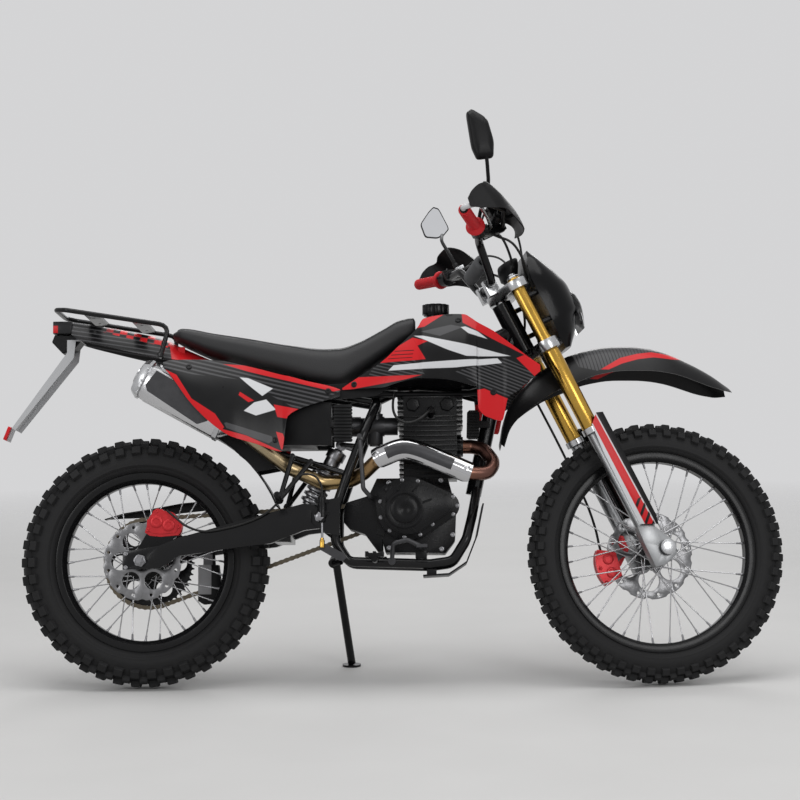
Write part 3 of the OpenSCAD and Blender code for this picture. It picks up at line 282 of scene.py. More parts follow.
def hot_pipe():
    made, shader = finish("hot_pipe", {"Metallic": 1.0})
    run = (along(TO_UPRIGHT, 0) + 400) / 660 + (spots(12, 3) - 0.5) * 0.12
    tint = Wire.node("ShaderNodeValToRGB", {"Fac": run}, stops=[
        (0.0, (0.36, 0.3, 0.2)), (0.35, (0.42, 0.29, 0.13)), (0.62, (0.3, 0.17, 0.09)),
        (0.8, (0.2, 0.095, 0.055)), (0.95, (0.15, 0.075, 0.06))])
    feed(shader, Base_Color=tint, Roughness=(spots(60, 3) - 0.5) * 0.2 + 0.3)
    return made


def rolled():
    made, shader = finish("rolled_silencer", {"Metallic": 1.0})
    height = along(TO_UPRIGHT, 2) * 0.87 + along(TO_UPRIGHT, 0) * 0.49
    sockets = {"W": height * 0.9, "Scale": 1.0, "Detail": 3.0}
    lines = Wire.node("ShaderNodeTexNoise", sockets, noise_dimensions="1D")
    feed(shader, Base_Color=mixed(lines, (0.46, 0.46, 0.47), (0.66, 0.66, 0.67)),
         Roughness=(lines - 0.5) * 0.25 + 0.24, Normal=dented(lines, 0.0001))
    return made


def clear_glass():
    made, shader = finish("lamp_glass", {"Transmission Weight": 1.0, "IOR": 1.46})
    feed(shader, Base_Color=mixed(spots(20), (0.93, 0.94, 0.95), (0.98, 0.98, 0.98)),
         Roughness=(spots(40) - 0.5) * 0.03 + 0.03)
    return made


look.update(seat_vinyl=vinyl(), hot_pipe=hot_pipe(), rolled_silencer=rolled(), lamp_glass=clear_glass())
print("special finishes made")

# %% [markdown]
# The panels carry printed stripes and patches. They could be painted on an unwrapped image, but
# straight edges are easy to give as sums: a point is inside a patch where it lies on the inner side of
# every edge seen from the side of the bike, so a patch is a product of soft steps. Grey pinstripes come
# from a sawtooth over height, and the tail's checks from two of them.

# %% Patches of colour
def inside(x, z, corners, soft=1.6):
    """1 inside a convex patch whose corners, in millimetres, go round either way."""
    edges = list(zip(corners, corners[1:] + corners[:1]))
    way_round = math.copysign(1, sum(a[0] * b[1] - b[0] * a[1] for a, b in edges))
    mask = None
    for a, b in edges:
        run, rise = b[0] - a[0], b[1] - a[1]
        side = way_round / math.hypot(run, rise) / soft
        across = x * (-rise * side) + z * (run * side)
        step = (across - (a[1] * run - a[0] * rise) * side).calc("ADD", 0.5, clamp=True)
        mask = step if mask is None else mask * step
    return mask


def pinstripes(x, z, slope, pitch, share):
    """Thin lines that run along x and fall by slope."""
    phase = ((z - x * slope) / pitch).calc("FRACT")
    return phase.over(1 - share, 0.12)


RED = (0.56, 0.014, 0.018)
BLACK = (0.006, 0.006, 0.0065)
GREY = (0.06, 0.06, 0.063)
WHITE = (0.62, 0.625, 0.64)


def decal(name, matrix, ground, layers):
    """A glossy panel: ground colour, then layers of (colour, mask builder) laid one over the other."""
    made, shader = finish(name, {"Specular IOR Level": 0.18})
    x, z = along(matrix, 0), along(matrix, 2)
    patch = spots(25, 3)
    colour = mixed(patch, [c * 0.85 for c in ground], [min(1, c * 1.15) for c in ground])
    for paint, mask in layers:
        colour = mixed(mask(x, z), colour, paint)
    feed(shader, Base_Color=colour, Roughness=(patch - 0.5) * 0.12 + 0.3,
         Normal=dented(spots(300, 2), 0.00008))
    return made


def area(*corners):
    """A mask builder for one plain patch."""
    return lambda x, z: inside(x, z, list(corners))


def striped(slope, pitch, share, *corners):
    """A mask builder for a patch of pinstripes."""
    return lambda x, z: inside(x, z, list(corners)) * pinstripes(x, z, slope, pitch, share)


def tail_checks(x, z):
    """Checks on the tail that grow towards the seat."""
    columns = (x / 38).calc("FRACT").over(0.5, 0.1)
    rows = ((z - x * -0.17) / 28).calc("FRACT").over(0.5, 0.1)
    both = (columns - rows).calc("ABSOLUTE")
    fading = both * ((x + 815) / 120).calc("ADD", 0.0, clamp=True).over(0.25, 0.4)
    return fading * inside(x, z, [(-815, 990), (-620, 952), (-620, 912), (-815, 962)])


print("patch tools ready")

# %% [markdown]
# The shrouds and side panels are black plastic under a printed sheet of red, white and grey patches.
# They are laid one over the other in the order of the list, as stickers are, so a later patch covers an
# earlier one. Corners are places on the upright bike in millimetres, x and z as seen from the right,
# and both sides of the bike take the same patches.

# %% Patches of the shrouds and side panels
look["shroud_decal"] = decal("shroud_decal", TO_UPRIGHT, BLACK, [
    (GREY, striped(-0.42, 9.5, 0.42, (150, 826), (282, 862), (372, 815), (297, 755), (205, 792))),
    (GREY, striped(-0.3, 9.5, 0.35, (-90, 812), (-60, 862), (40, 866), (70, 820))),
    (GREY, area((60, 940), (140, 958), (172, 950), (110, 926))),
    (RED, area((40, 934), (48, 1000), (130, 1012), (190, 1006), (200, 972), (156, 966), (56, 945))),
    (RED, area((168, 1006), (204, 996), (392, 852), (374, 836), (250, 914), (172, 957))),
    (RED, area((396, 856), (390, 818), (360, 809), (312, 860), (332, 868))),
    (WHITE, area((166, 950), (178, 952), (212, 936), (236, 915), (186, 932))),
    (WHITE, area((41, 930), (65, 928), (191, 898), (296, 866), (180, 868), (131, 886))),
    (RED, area((-80, 858), (37, 925), (50, 902), (72, 862))),
    (RED, area((37, 925), (78, 912), (50, 901))),
    (BLACK, striped(0.0, 10.0, 0.22, (-6, 894), (42, 894), (36, 868), (-30, 868))),
    (RED, area((-162, 801), (-108, 822), (88, 820), (18, 810), (-90, 784), (-162, 780))),
    (WHITE, area((-14, 850), (170, 858), (262, 861), (274, 848), (150, 837), (-28, 836))),
    (RED, area((205, 776), (226, 780), (296, 748), (276, 688), (205, 716))),
])
look["panel_decal"] = decal("panel_decal", TO_UPRIGHT, BLACK, [
    (GREY, striped(-0.24, 11.5, 0.42, (-640, 880), (-464, 876), (-418, 815), (-640, 838))),
    (GREY, striped(-0.24, 11.5, 0.42, (-465, 876), (-134, 800), (-257, 726), (-419, 815))),
    (RED, area((-470, 859), (-378, 854), (-140, 793), (-176, 784), (-314, 817), (-406, 839))),
    (RED, area((-622, 842), (-590, 826), (-546, 757), (-566, 742), (-640, 830))),
    (RED, area((-550, 762), (-486, 720), (-462, 684), (-476, 664), (-580, 740))),
    (RED, area((-466, 690), (-403, 662), (-312, 638), (-294, 610), (-320, 600), (-490, 660))),
    (WHITE, area((-430, 822), (-403, 820), (-337, 792), (-366, 770), (-390, 791))),
    (WHITE, area((-437, 739), (-385, 753), (-364, 772), (-328, 734), (-380, 717))),
    (RED, area((-423, 781), (-386, 758), (-400, 753), (-426, 772))),
    (RED, area((-334, 748), (-266, 735), (-300, 710), (-324, 714))),
    (RED, area((-327, 674), (-309, 669), (-292, 612), (-314, 628))),
    (GREY, striped(-0.3, 40, 0.6, (-462, 695), (-440, 703), (-342, 671), (-334, 650), (-346, 642),
                   (-456, 682))),
])
print("shrouds and side panels patterned")

# %% [markdown]
# The tail, the fender and the fork guards carry patches too. The fender and the guards turn with the
# bars, so their corners are in the steering's own frame and stay put on them. The last three are not
# prints but changes of material on one piece: a red lens on a dark lamp, a bright end on a black bar, a
# worn grey block in the chain guide. A second material slot could do the same, but the faces there
# aren't split.

# %% Patches of the smaller pieces
look["tail_decal"] = decal("tail_decal", TO_UPRIGHT, BLACK, [
    (GREY, striped(-0.17, 12, 0.3, (-900, 1000), (-600, 960), (-600, 860), (-900, 930))),
    (RED, tail_checks),
    (RED, area((-632, 960), (-460, 890), (-460, 820), (-610, 868))),
])
look["fender_decal"] = decal("fender_decal", TO_STEERING, BLACK, [
    (GREY, area((98, 540), (104, 590), (174, 574), (262, 538), (240, 504), (180, 506), (140, 504))),
    (GREY, area((240, 540), (330, 486), (306, 484), (264, 496), (236, 502))),
    (BLACK, striped(3.0, 30, 0.25, (90, 500), (90, 600), (340, 600), (340, 470))),
    (RED, area((146, 507), (214, 513), (210, 496), (165, 497))),
    (RED, area((213, 513), (265, 503), (257, 488), (209, 496))),
    (RED, area((263, 503.4), (307, 490), (301, 474), (255, 488.4))),
    (RED, area((305, 490.6), (351, 461), (345, 448), (299, 474.8))),
    (RED, area((349, 462), (386, 432), (345, 448))),
])
look["fork_guard_decal"] = decal("fork_guard_decal", TO_STEERING, RED, [
    (WHITE, area((10, 40), (10, 430), (37, 430), (36, 40))),
    (BLACK, area((64, 40), (58, 430), (100, 430), (100, 40))),
    (WHITE, area((61, 40), (55, 430), (58, 430), (64.5, 40))),
    (BLACK, striped(0.9, 26, 0.4, (38, 60), (38, 150), (62, 150), (62, 60))),
])
look["lamp_decal"] = decal("lamp_decal", TO_UPRIGHT, (0.02, 0.02, 0.021), [
    (RED, area((-1100, 640), (-1100, 740), (-1000, 740), (-1000, 640))),
    (RED, area((-950, 960), (-950, 980), (-930, 980), (-930, 960))),
])
look["guard_bar_decal"] = decal("guard_bar_decal", TO_STEERING, BLACK, [
    ((0.5, 0.5, 0.51), area((-160, 900), (-160, 1100), (-56, 1100), (-56, 900))),
])
look["guide_decal"] = decal("guide_decal", TO_UPRIGHT, BLACK, [
    ((0.34, 0.34, 0.35), area((-640, 250), (-640, 360), (-520, 360), (-520, 250))),
])
print(len(look), "finishes in all")

# %% [markdown]
# Meshes could come from Blender's own primitives and edits, but most parts here are sections in a row.
# So one small class gathers them: rings of points joined into skins, tubes along a path, turned shapes
# on an axis and flat shapes given thickness. A gathered shape becomes one object, moved by a frame's
# matrix, and rides on a body of the bike.

# %% Gathered shapes
class Shape:
    def __init__(self):
        self.points = []
        self.faces = []

    def add(self, points, faces):
        start = len(self.points)
        self.points += [Vector(p) for p in points]
        self.faces += [[start + i for i in f] for f in faces]
        return self

    def rings(self, rows, caps=True):
        """Joins rows of points, each row a ring, into one skin."""
        n, m = len(rows[0]), len(rows)
        faces = [[i * n + k, i * n + (k + 1) % n, (i + 1) * n + (k + 1) % n, (i + 1) * n + k]
                 for i in range(m - 1) for k in range(n)]
        if caps:
            faces += [list(range(n))[::-1], [(m - 1) * n + k for k in range(n)]]
        return self.add([p for row in rows for p in row], faces)

    def tube(self, path, radius, sides=12):
        path = [Vector(p) for p in path]
        rows = []
        normal = None
        for i, p in enumerate(path):
            way = (path[min(i + 1, len(path) - 1)] - path[max(i - 1, 0)]).normalized()
            if normal is None:
                aside = Vector((0, 0, 1)) if abs(way.z) < 0.9 else Vector((0, 1, 0))
                normal = way.cross(aside).normalized()
            normal = (normal - way * normal.dot(way)).normalized()
            side = way.cross(normal)
            rows.append([p + (normal * math.cos(a) + side * math.sin(a)) * radius
                         for a in np.linspace(0, 2 * math.pi, sides, endpoint=False)])
        return self.rings(rows)

    def turn(self, profile, at=(0, 0, 0), axis=(0, 0, 1), sides=32):
        """Turns a profile of (along the axis, radius) about an axis."""
        axis = Vector(axis).normalized()
        one = axis.orthogonal().normalized()
        two = axis.cross(one)
        rows = [[Vector(at) + axis * h + (one * math.cos(a) + two * math.sin(a)) * max(r, 0.01)
                 for a in np.linspace(0, 2 * math.pi, sides, endpoint=False)] for h, r in profile]
        return self.rings(rows)

    def plate(self, outline, low, high):
        """A flat shape in x and z, between two y values."""
        rows = [[(x, y, z) for x, z in outline] for y in (low, high)]
        return self.rings(rows)

    def bolt(self, at, axis, size=5.0, head=4.0):
        """Flanged hexagon head with a dished top."""
        self.turn([(-0.5, size * 1.35), (0.8, size * 1.35), (1.2, size * 1.1)], at, axis, 20)
        dished = [(0.6, size), (head - 0.8, size), (head, size * 0.82), (head - 0.7, size * 0.55)]
        return self.turn(dished, at, axis, 6)

    def make(self, name, body, finish_name, place=UPRIGHT, bevel=0.0, sharp=38, slot=None):
        mesh = bpy.data.meshes.new(name)
        mesh.from_pydata([place @ p for p in self.points], [], self.faces)
        mesh.validate()
        mesh.materials.append(look[finish_name])
        mesh.polygons.foreach_set("use_smooth", [True] * len(mesh.polygons))
        piece = bpy.data.objects.new(name, mesh)
        bpy.context.scene.collection.objects.link(piece)
        right_way_out(mesh)
        if bevel:
            edge = piece.modifiers.new("edge", "BEVEL")
            edge.width = bevel
            edge.segments = 2
            edge.limit_method = "ANGLE"
            edge.angle_limit = math.radians(sharp)
            edge.harden_normals = True
        else:
            mesh.set_sharp_from_angle(angle=math.radians(sharp))
        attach(piece, body)
        return piece


def right_way_out(mesh):
    """Merges doubled points and turns every face outwards."""
    work = bmesh.new()
    work.from_mesh(mesh)
    bmesh.ops.remove_doubles(work, verts=work.verts, dist=0.00001)
    bmesh.ops.recalc_face_normals(work, faces=work.faces)
    work.to_mesh(mesh)
    work.free()


print("gathered shapes ready")

# %% [markdown]
# Moulded skins and bent tubes are smooth, but it is easier to read a table with few rows. So three
# helpers fill in between: one adds sections to a table without overshooting its corners, one draws a
# smooth line through points, and one gives a grid of points an even thickness. Blender's subdivision
# would round off the corners that a panel really has.

# %% Smooth rows, lines and shells
def smoothly(rows, steps):
    """More rows between the given ones, by a cubic that never overshoots its corners."""
    rows = np.array(rows, float)
    t = rows[:, 0]
    gaps = np.diff(t)
    slopes = np.diff(rows, axis=0) / gaps[:, None]
    with np.errstate(divide="ignore", invalid="ignore"):
        before, after = slopes[:-1], slopes[1:]
        middle = np.where(before * after > 0, 2 * before * after / (before + after), 0)
    m = np.vstack([slopes[:1], middle, slopes[-1:]])
    out = []
    for i, gap in enumerate(gaps):
        for u in np.arange(steps) / steps:
            out.append((2 * u**3 - 3 * u**2 + 1) * rows[i] + (u**3 - 2 * u**2 + u) * gap * m[i]
                       + (3 * u**2 - 2 * u**3) * rows[i + 1] + (u**3 - u**2) * gap * m[i + 1])
    return np.vstack(out + [rows[-1]])


def curve(points, steps=8):
    """A smooth line through points."""
    p = [Vector(q) for q in points]
    p = [p[0] * 2 - p[1]] + p + [p[-1] * 2 - p[-2]]
    out = []
    for a, b, c, d in zip(p, p[1:], p[2:], p[3:]):
        for t in np.arange(steps) / steps:
            bend = (a * 2 - b * 5 + c * 4 - d) * t**2 + (b * 3 - a - c * 3 + d) * t**3
            out.append((b * 2 + (c - a) * t + bend) / 2)
    return out + [p[-2]]


def pressed(shape, grid, thick):
    """A closed shell from a grid of points, its inner side set back along the surface normal."""
    m, n = len(grid), len(grid[0])
    inner = []
    for i in range(m):
        row = []
        for k in range(n):
            u = grid[min(i + 1, m - 1)][k] - grid[max(i - 1, 0)][k]
            v = grid[i][min(k + 1, n - 1)] - grid[i][max(k - 1, 0)]
            row.append(grid[i][k] - u.cross(v).normalized() * thick)
        inner.append(row)
    return shape.rings([list(a) + list(b)[::-1] for a, b in zip(grid, inner)])


print("shape tools ready")

# %% [markdown]
# The solids that stay get finishes too. Finishes could be picked by hand in the material tab, but a
# table shows at a glance which piece has which. Small modifiers leave the solids' own points alone: a
# weld, a narrow bevel so that edges catch the light as moulded and machined edges do, and a node group
# that smooths the shading except over sharp edges.

# %% Finishes for the solids that stay
SHADE_SHARP = 38
BEVEL_SHARP = 40
WELD_GAP = 0.00002


def shading_group(name, degrees):
    group = bpy.data.node_groups.new(name, "GeometryNodeTree")
    group.interface.new_socket("Geometry", in_out="INPUT", socket_type="NodeSocketGeometry")
    group.interface.new_socket("Geometry", in_out="OUTPUT", socket_type="NodeSocketGeometry")
    nodes, links = group.nodes, group.links
    start, end = nodes.new("NodeGroupInput"), nodes.new("NodeGroupOutput")
    faces, edges = nodes.new("GeometryNodeSetShadeSmooth"), nodes.new("GeometryNodeSetShadeSmooth")
    angle, compare = nodes.new("GeometryNodeInputMeshEdgeAngle"), nodes.new("FunctionNodeCompare")
    compare.operation = "GREATER_THAN"
    compare.inputs[1].default_value = math.radians(degrees)
    edges.domain = "EDGE"
    edges.inputs["Shade Smooth"].default_value = False
    links.new(start.outputs[0], faces.inputs["Geometry"])
    links.new(faces.outputs[0], edges.inputs["Geometry"])
    links.new(angle.outputs[0], compare.inputs[0])
    links.new(compare.outputs[0], edges.inputs["Selection"])
    links.new(edges.outputs[0], end.inputs[0])
    return group


soft_edges = shading_group("soft_edges", SHADE_SHARP)


def dress(name, finish_name, bevel=0.0):
    piece = solid[name]
    piece.data.materials.clear()
    piece.data.materials.append(look[finish_name])
    weld = piece.modifiers.new("weld", "WELD")
    weld.merge_threshold = WELD_GAP
    if bevel:
        edge = piece.modifiers.new("edge", "BEVEL")
        edge.width = bevel
        edge.segments = 2
        edge.limit_method = "ANGLE"
        edge.angle_limit = math.radians(BEVEL_SHARP)
        edge.use_clamp_overlap = True
    smooth = piece.modifiers.new("shading", "NODES")
    smooth.node_group = soft_edges


# finish: (node, bevel in metres) pairs
DRESSED = {
    "frame_gloss_black": [("main_frame", 0), ("subframe", 0), ("swingarm", 0.0025), ("luggage_rack", 0),
                          ("side_stand", 0)],
    "engine_satin_black": [("crankcase", 0.002), ("engine_covers", 0.002), ("cylinder_block", 0.0008),
                           ("rear_hub", 0.001), ("front_hub", 0.001), ("foot_pegs", 0.0008)],
    "guide_decal": [("chain_guards", 0.001)],
    "moulded_black": [("mud_guard", 0.001), ("airbox", 0.002), ("skid_plate", 0.0012)],
    "gloss_black_plastic": [("fuel_tank", 0), ("fuel_cap", 0.001)],
    "rim_black": [("front_rim", 0.001), ("rear_rim", 0.001), ("handlebar", 0), ("rear_sprocket", 0.0006)],
    "spoke_steel": [("front_spokes", 0), ("rear_spokes", 0)],
    "disc_steel": [("front_disc", 0.0006), ("rear_disc", 0.0006)],
    "zinc_steel": [("rear_axle_set", 0.0008), ("front_axle", 0.0008), ("rear_shock", 0.0008)],
    "gun_grey": [("foot_levers", 0), ("carburettor", 0.0015)],
    "bright_alloy": [("triple_clamps", 0.0025), ("hand_levers", 0.0008)],
    "guard_bar_decal": [("guard_bars", 0)],
    "cast_alloy": [("fork_legs", 0.002)],
    "plate_grey": [("plate_bracket", 0)],
    "gold_anodised": [("fork_tubes", 0.0008)],
    "hot_pipe": [("exhaust_pipe", 0)],
    "rolled_silencer": [("silencer", 0.002)],
    "grey_foam": [("bar_pad", 0.006)],
    "lamp_decal": [("rear_lamps", 0.003)],
    "fork_guard_decal": [("fork_guards", 0.0015)],
}
for finish_name, pieces in DRESSED.items():
    for name, bevel in pieces:
        dress(name, finish_name, bevel)
print(sum(len(p) for p in DRESSED.values()), "solids dressed")

# %% [markdown]
# A knobbly tyre is a round casing with separate blocks moulded on it. Each block stands square to the
# casing, is a little wider at its foot and has a small chamfer round its top. The blocks come in rows:
# a pair at the middle, a pair beside them half a pitch on, and one on each shoulder. An array modifier
# could repeat a block, but a loop puts all the rows and the casing in one mesh.

# %% Tyres
def outline_of(profile):
    """Radius and slope of the tread at a lateral place, from a table of (lateral, radius)."""
    lateral, radius = np.array(profile).T

    def at(y):
        before, r, after = (np.interp(abs(y) + step, lateral, radius) for step in (-0.5, 0, 0.5))
        return r, (after - before) * np.sign(y or 1)
    return at


def knobs(shape, tread, count, rows, height):
    """Rows of (lateral, half width, half length, turn in pitches), each on both sides of the middle."""
    both_sides = [(side * y, *sizes) for y, *sizes in rows for side in (-1, 1)]
    for lateral, half_w, half_l, turn in both_sides:
        r, slope = tread(lateral)
        for i in range(count):
            a = 2 * math.pi * (i + turn) / count
            out = Vector((math.cos(a), math.sin(a), 0))
            t = Vector((-math.sin(a), math.cos(a), 0))
            up = (out - Vector((0, 0, 1)) * slope).normalized()
            b = t.cross(up)
            top = out * r + Vector((0, 0, lateral))
            shape.rings([[top + up * h + t * (half_l + g) * p + b * (half_w + g) * q
                          for p, q in ((-1, -1), (1, -1), (1, 1), (-1, 1))]
                         for h, g in ((-height - 3, 2.2), (-height * 0.6, 0.8), (-1.3, 0), (0, -1.2))])
    return shape


def tyre(name, node, body, place, casing, tread, count, rows, height):
    shape = Shape()
    profile = casing + [(-y, r) for y, r in casing[::-1] if y > 0]
    around = [[(r * math.cos(a), r * math.sin(a), y) for y, r in profile]
              for a in np.linspace(0, 2 * math.pi, 121)[:-1]]
    shape.rings(around + [[(r, 0, y) for y, r in profile]], caps=False)
    knobs(shape, outline_of(tread), count, rows, height)
    piece = shape.make(name, body, "tyre_rubber", place, sharp=34, slot="tyre")
    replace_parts(piece, node)
    print(name, len(piece.data.polygons), "faces")
    return piece


FRONT_TREAD = [(0, 352), (10, 351.5), (20, 348.5), (30, 341), (37, 331), (41, 321), (43, 308)]
REAR_TREAD = [(0, 336), (14, 335.2), (27, 331), (40, 322), (49, 310), (54.5, 298), (57, 284)]
FRONT_CASING = [(0, 339), (12, 338), (22, 333), (29, 324), (33.5, 313), (36.5, 302), (37.6, 294),
                (36.6, 289), (37, 287.6), (35, 283), (33, 281.6), (32.4, 280), (26, 274), (21.2, 272.8),
                (20.4, 262.2), (10, 262.2)]
REAR_CASING = [(0, 322), (16, 320.5), (30, 314), (39, 303), (45, 290), (49.5, 276), (50.4, 268),
               (49.2, 263), (49.6, 261.6), (46, 256), (44, 254.6), (43.2, 252), (34, 244), (27.2, 241.8),
               (26.4, 232.2), (12, 232.2)]
FRONT_ROWS = [(9.5, 7.5, 10, 0), (28.5, 6, 8.5, 0.5), (39.3, 8.5, 10, 0)]
REAR_ROWS = [(11.5, 9, 12, 0), (37.5, 7.5, 10, 0.5), (52, 10, 12, 0)]
tyre("front_knobbly", "front_tyre", "front_wheel", FRONT_AXLE, FRONT_CASING, FRONT_TREAD,
     count=50, rows=FRONT_ROWS, height=12)
tyre("rear_knobbly", "rear_tyre", "rear_wheel", REAR_AXLE, REAR_CASING, REAR_TREAD,
     count=42, rows=REAR_ROWS, height=13)

# %% [markdown]
# Side panels and shrouds are thin moulded skins. A subdivided cage would have to be pulled into shape
# by eye. A table of cross sections along the bike holds the measured outline instead, with more
# sections put between them by a cubic that keeps the corners. A bevel then rounds the cut edges.

# %% Side panels and shrouds
# rows of x, low z, high z, y at the bottom, y at the top, belly
SHROUD = [[-152, 789, 794, 108, 107, 0], [-100, 790, 828, 122, 112, 1], [-46, 791, 862, 136, 120, 3],
          [0, 803, 904, 150, 126, 5], [51, 813, 954, 164, 126, 7], [66, 812, 978, 167, 117, 17],
          [110, 809, 988, 174, 112, 22], [145, 803, 991, 180, 113, 24], [176, 794, 989, 184, 119, 23],
          [197, 788, 975, 186, 134, 16], [206, 786, 967, 186, 142, 12], [211, 724, 963, 184, 147, 10],
          [251, 697, 938, 186, 162, 7], [272, 694, 921, 187, 169, 5], [289, 756, 907, 190, 175, 4],
          [315, 773, 886, 192, 180, 3], [345, 799, 862, 194, 186, 2], [374, 824, 841, 194, 192, 0]]
PANEL = [[-628, 848, 862, 160, 154, 0], [-612, 832, 868, 168, 148, 3], [-548, 746, 872, 180, 128, 12],
         [-479, 681, 869, 182, 122, 14], [-442, 659, 862, 180, 120, 14], [-380, 641, 848, 164, 114, 9],
         [-312, 621, 830, 148, 112, 7], [-297, 716, 827, 138, 112, 4], [-249, 743, 814, 128, 110, 3],
         [-180, 764, 798, 118, 108, 2], [-158, 771, 790, 113, 107, 1]]


def side_skin(shape, rows, side, count=22, thick=3.5):
    """A skin of even thickness from such rows, on the left (side 1) or the right (side -1)."""
    rings = []
    for x, low, high, y_low, y_high, belly in smoothly(rows, 5):
        v = np.linspace(0, 1, count + 1)
        y = y_low + (y_high - y_low) * v + belly * 4 * v * (1 - v)
        z = low + (high - low) * v
        outer = [(x, side * a, b) for a, b in zip(y, z)]
        inner = [(x, side * (a - thick), b) for a, b in zip(y[::-1], z[::-1])]
        rings.append(outer + inner)
    return shape.rings(rings)


def pair_of_skins(name, node, rows, finish_name, slot):
    shape = Shape()
    for side in (-1, 1):
        side_skin(shape, rows, side)
    piece = shape.make(name, "chassis", finish_name, bevel=0.0012, sharp=50, slot=slot)
    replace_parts(piece, node)
    return piece


pair_of_skins("shroud_skins", "shrouds", SHROUD, "shroud_decal", "red_plastic")
pair_of_skins("panel_skins", "side_panels", PANEL, "panel_decal", "panel")
print("panels made")

# %% [markdown]
# The fenders are arched skins: each section is a crown with sides that fall away. A bent plane with a
# solidify modifier would also do, but sections let the crown narrow and flatten towards each tip.

# %% Fenders
# rows of x, crown z, half width, fall of the sides
TAIL = [[-892, 994, 52, 40], [-870, 991, 64, 54], [-801, 979, 76, 60], [-731, 965, 84, 63],
        [-640, 943, 92, 64], [-604, 925, 94, 48], [-540, 896, 94, 34], [-472, 866, 90, 26]]
FENDER = [[-184, 452, 34, 16], [-150, 496, 40, 26], [-110, 533, 46, 44], [-50, 562, 58, 60],
          [0, 577, 64, 70], [46, 583, 68, 78], [95, 584, 70, 82], [170, 571, 72, 84], [252, 540, 72, 88],
          [326, 494, 70, 88], [388, 426, 64, 80], [430, 368, 54, 58], [458, 318, 34, 24]]


def arch_skin(shape, rows, thick, steps=5, count=40):
    """An arched skin of even thickness from such rows."""
    rings = []
    for x, crown, half, fall in smoothly(rows, steps):
        v = np.linspace(1, -1, count + 1)
        outer = [(x, half * a, crown - fall * abs(a) ** 2.4) for a in v]
        inner = [(x, (half - thick) * a, crown - thick - (fall - thick) * abs(a) ** 2.4) for a in v[::-1]]
        rings.append(outer + inner)
    return shape.rings(rings)


tail = arch_skin(Shape(), TAIL, 3.5)
for side in (-1, 1):
    tail.plate([(-600, 861), (-580, 861), (-580, 915), (-600, 915)], side * 62 - 3, side * 62 + 3)
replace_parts(tail.make("tail_skin", "chassis", "tail_decal", bevel=0.001, sharp=50, slot="red_plastic"),
            "tail_fender")
front = arch_skin(Shape(), FENDER, 4)
for x in (0, 40):
    front.turn([(560, 8), (611.7, 8)], (x, 0, 0))
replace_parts(front.make("fender_skin", "steering", "fender_decal", STEERING, bevel=0.001, sharp=50,
                       slot="black_plastic"), "front_fender")
print("fenders made")

# %% [markdown]
# The seat is a foam pad under a taut vinyl cover, so it keeps the form that its mould gave it: long and
# narrow, rising over the tank at the front. A cloth simulation suits loose covers, so here the sections
# are drawn as soft rectangles. A welted seam runs along each shoulder where the top meets the sides.

# %% Seat
# rows of x, low z, high z, half width, squareness
SEAT = [[-612, 940, 957, 66, 2.6], [-586, 926, 966, 98, 3], [-500, 888, 952, 112, 3.2],
        [-400, 858, 936, 118, 3.2], [-300, 833, 919, 112, 3.2], [-205, 808, 909, 98, 3.2],
        [-162, 804, 911, 90, 3.2], [-115, 836, 925, 82, 3.2], [-44, 884, 962, 72, 3.2],
        [3, 916, 988, 64, 3], [38, 938, 994, 56, 3], [44, 946, 986, 46, 2.6]]


def soft_section(x, low, high, half, square, angles):
    """A soft rectangle across the bike, a little crowned on top. More square means tighter corners."""
    c, s = np.cos(angles), np.sin(angles)
    y = half * np.sign(c) * np.abs(c) ** (2 / square)
    z = (low + high) / 2 + (high - low) / 2 * np.sign(s) * np.abs(s) ** (2 / square)
    crown = 3.0 * np.clip(s, 0, 1) * (1 - (y / half) ** 2) - 1.5
    return [(x, a, b) for a, b in zip(y, z + crown)]


angles = np.linspace(0, 2 * math.pi, 72, endpoint=False)
seat_rows = smoothly(SEAT, 6)
cover = Shape().rings([soft_section(*row, angles) for row in seat_rows])
for shoulder in (math.radians(47), math.radians(133)):
    cover.tube([soft_section(*row, np.array([shoulder]))[0] for row in seat_rows[3:-3]], 1.7, 8)
seat_cover = cover.make("seat_cover", "chassis", "seat_vinyl", sharp=60, slot="vinyl")
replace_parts(seat_cover, "seat")
print("seat", len(seat_cover.data.polygons), "faces")

# %% [markdown]
# The mask in front of the bars holds the headlamp: a rounded shell, with a clear lens that bulges out
# of it. A sculpted ball would be hard to hold to size, so both are D shaped sections set one above the
# other.

# %% Headlamp and mask
# rows of z, back x, front x, half width, and for the lens z, front x, half width
MASK = [[602, 90, 116, 56], [640, 80, 150, 86], [671, 79, 166, 100], [692, 79, 184, 104],
        [754, 79, 186, 108], [800, 80, 172, 106], [828, 84, 160, 100], [860, 100, 143, 86],
        [888, 116, 127, 58]]
LENS = [[630, 168, 48], [662, 184, 62], [700, 194, 65], [724, 192, 62], [741, 184, 52]]


def dee(z, back, front, half, count=33):
    """A level section, flat at the back and round at the front."""
    return [(back + (front - back) * max(0, math.cos(a)) ** 0.7, half * math.sin(a), z)
            for a in np.linspace(-math.pi / 2, math.pi / 2, count)]


mask = Shape().rings([dee(*row) for row in smoothly(MASK, 5)])
for side in (-1, 1):
    for z in (690, 770):
        mask.turn([(54.8, 7), (82, 7)], (0, side * 92, z), (1, 0, 0), 20)
mask_piece = mask.make("lamp_mask", "steering", "gloss_black_plastic", STEERING, bevel=0.003, sharp=50,
                       slot="black_plastic")
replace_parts(mask_piece, "headlamp_mask")
lens = Shape().rings([dee(z, 165, front + 1, half) for z, front, half in smoothly(LENS, 6)])
lens_piece = lens.make("lamp_lens", "steering", "lamp_glass", STEERING, bevel=0.002, sharp=50, slot="lens")
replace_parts(lens_piece, "headlamp_lens")
print("headlamp made")

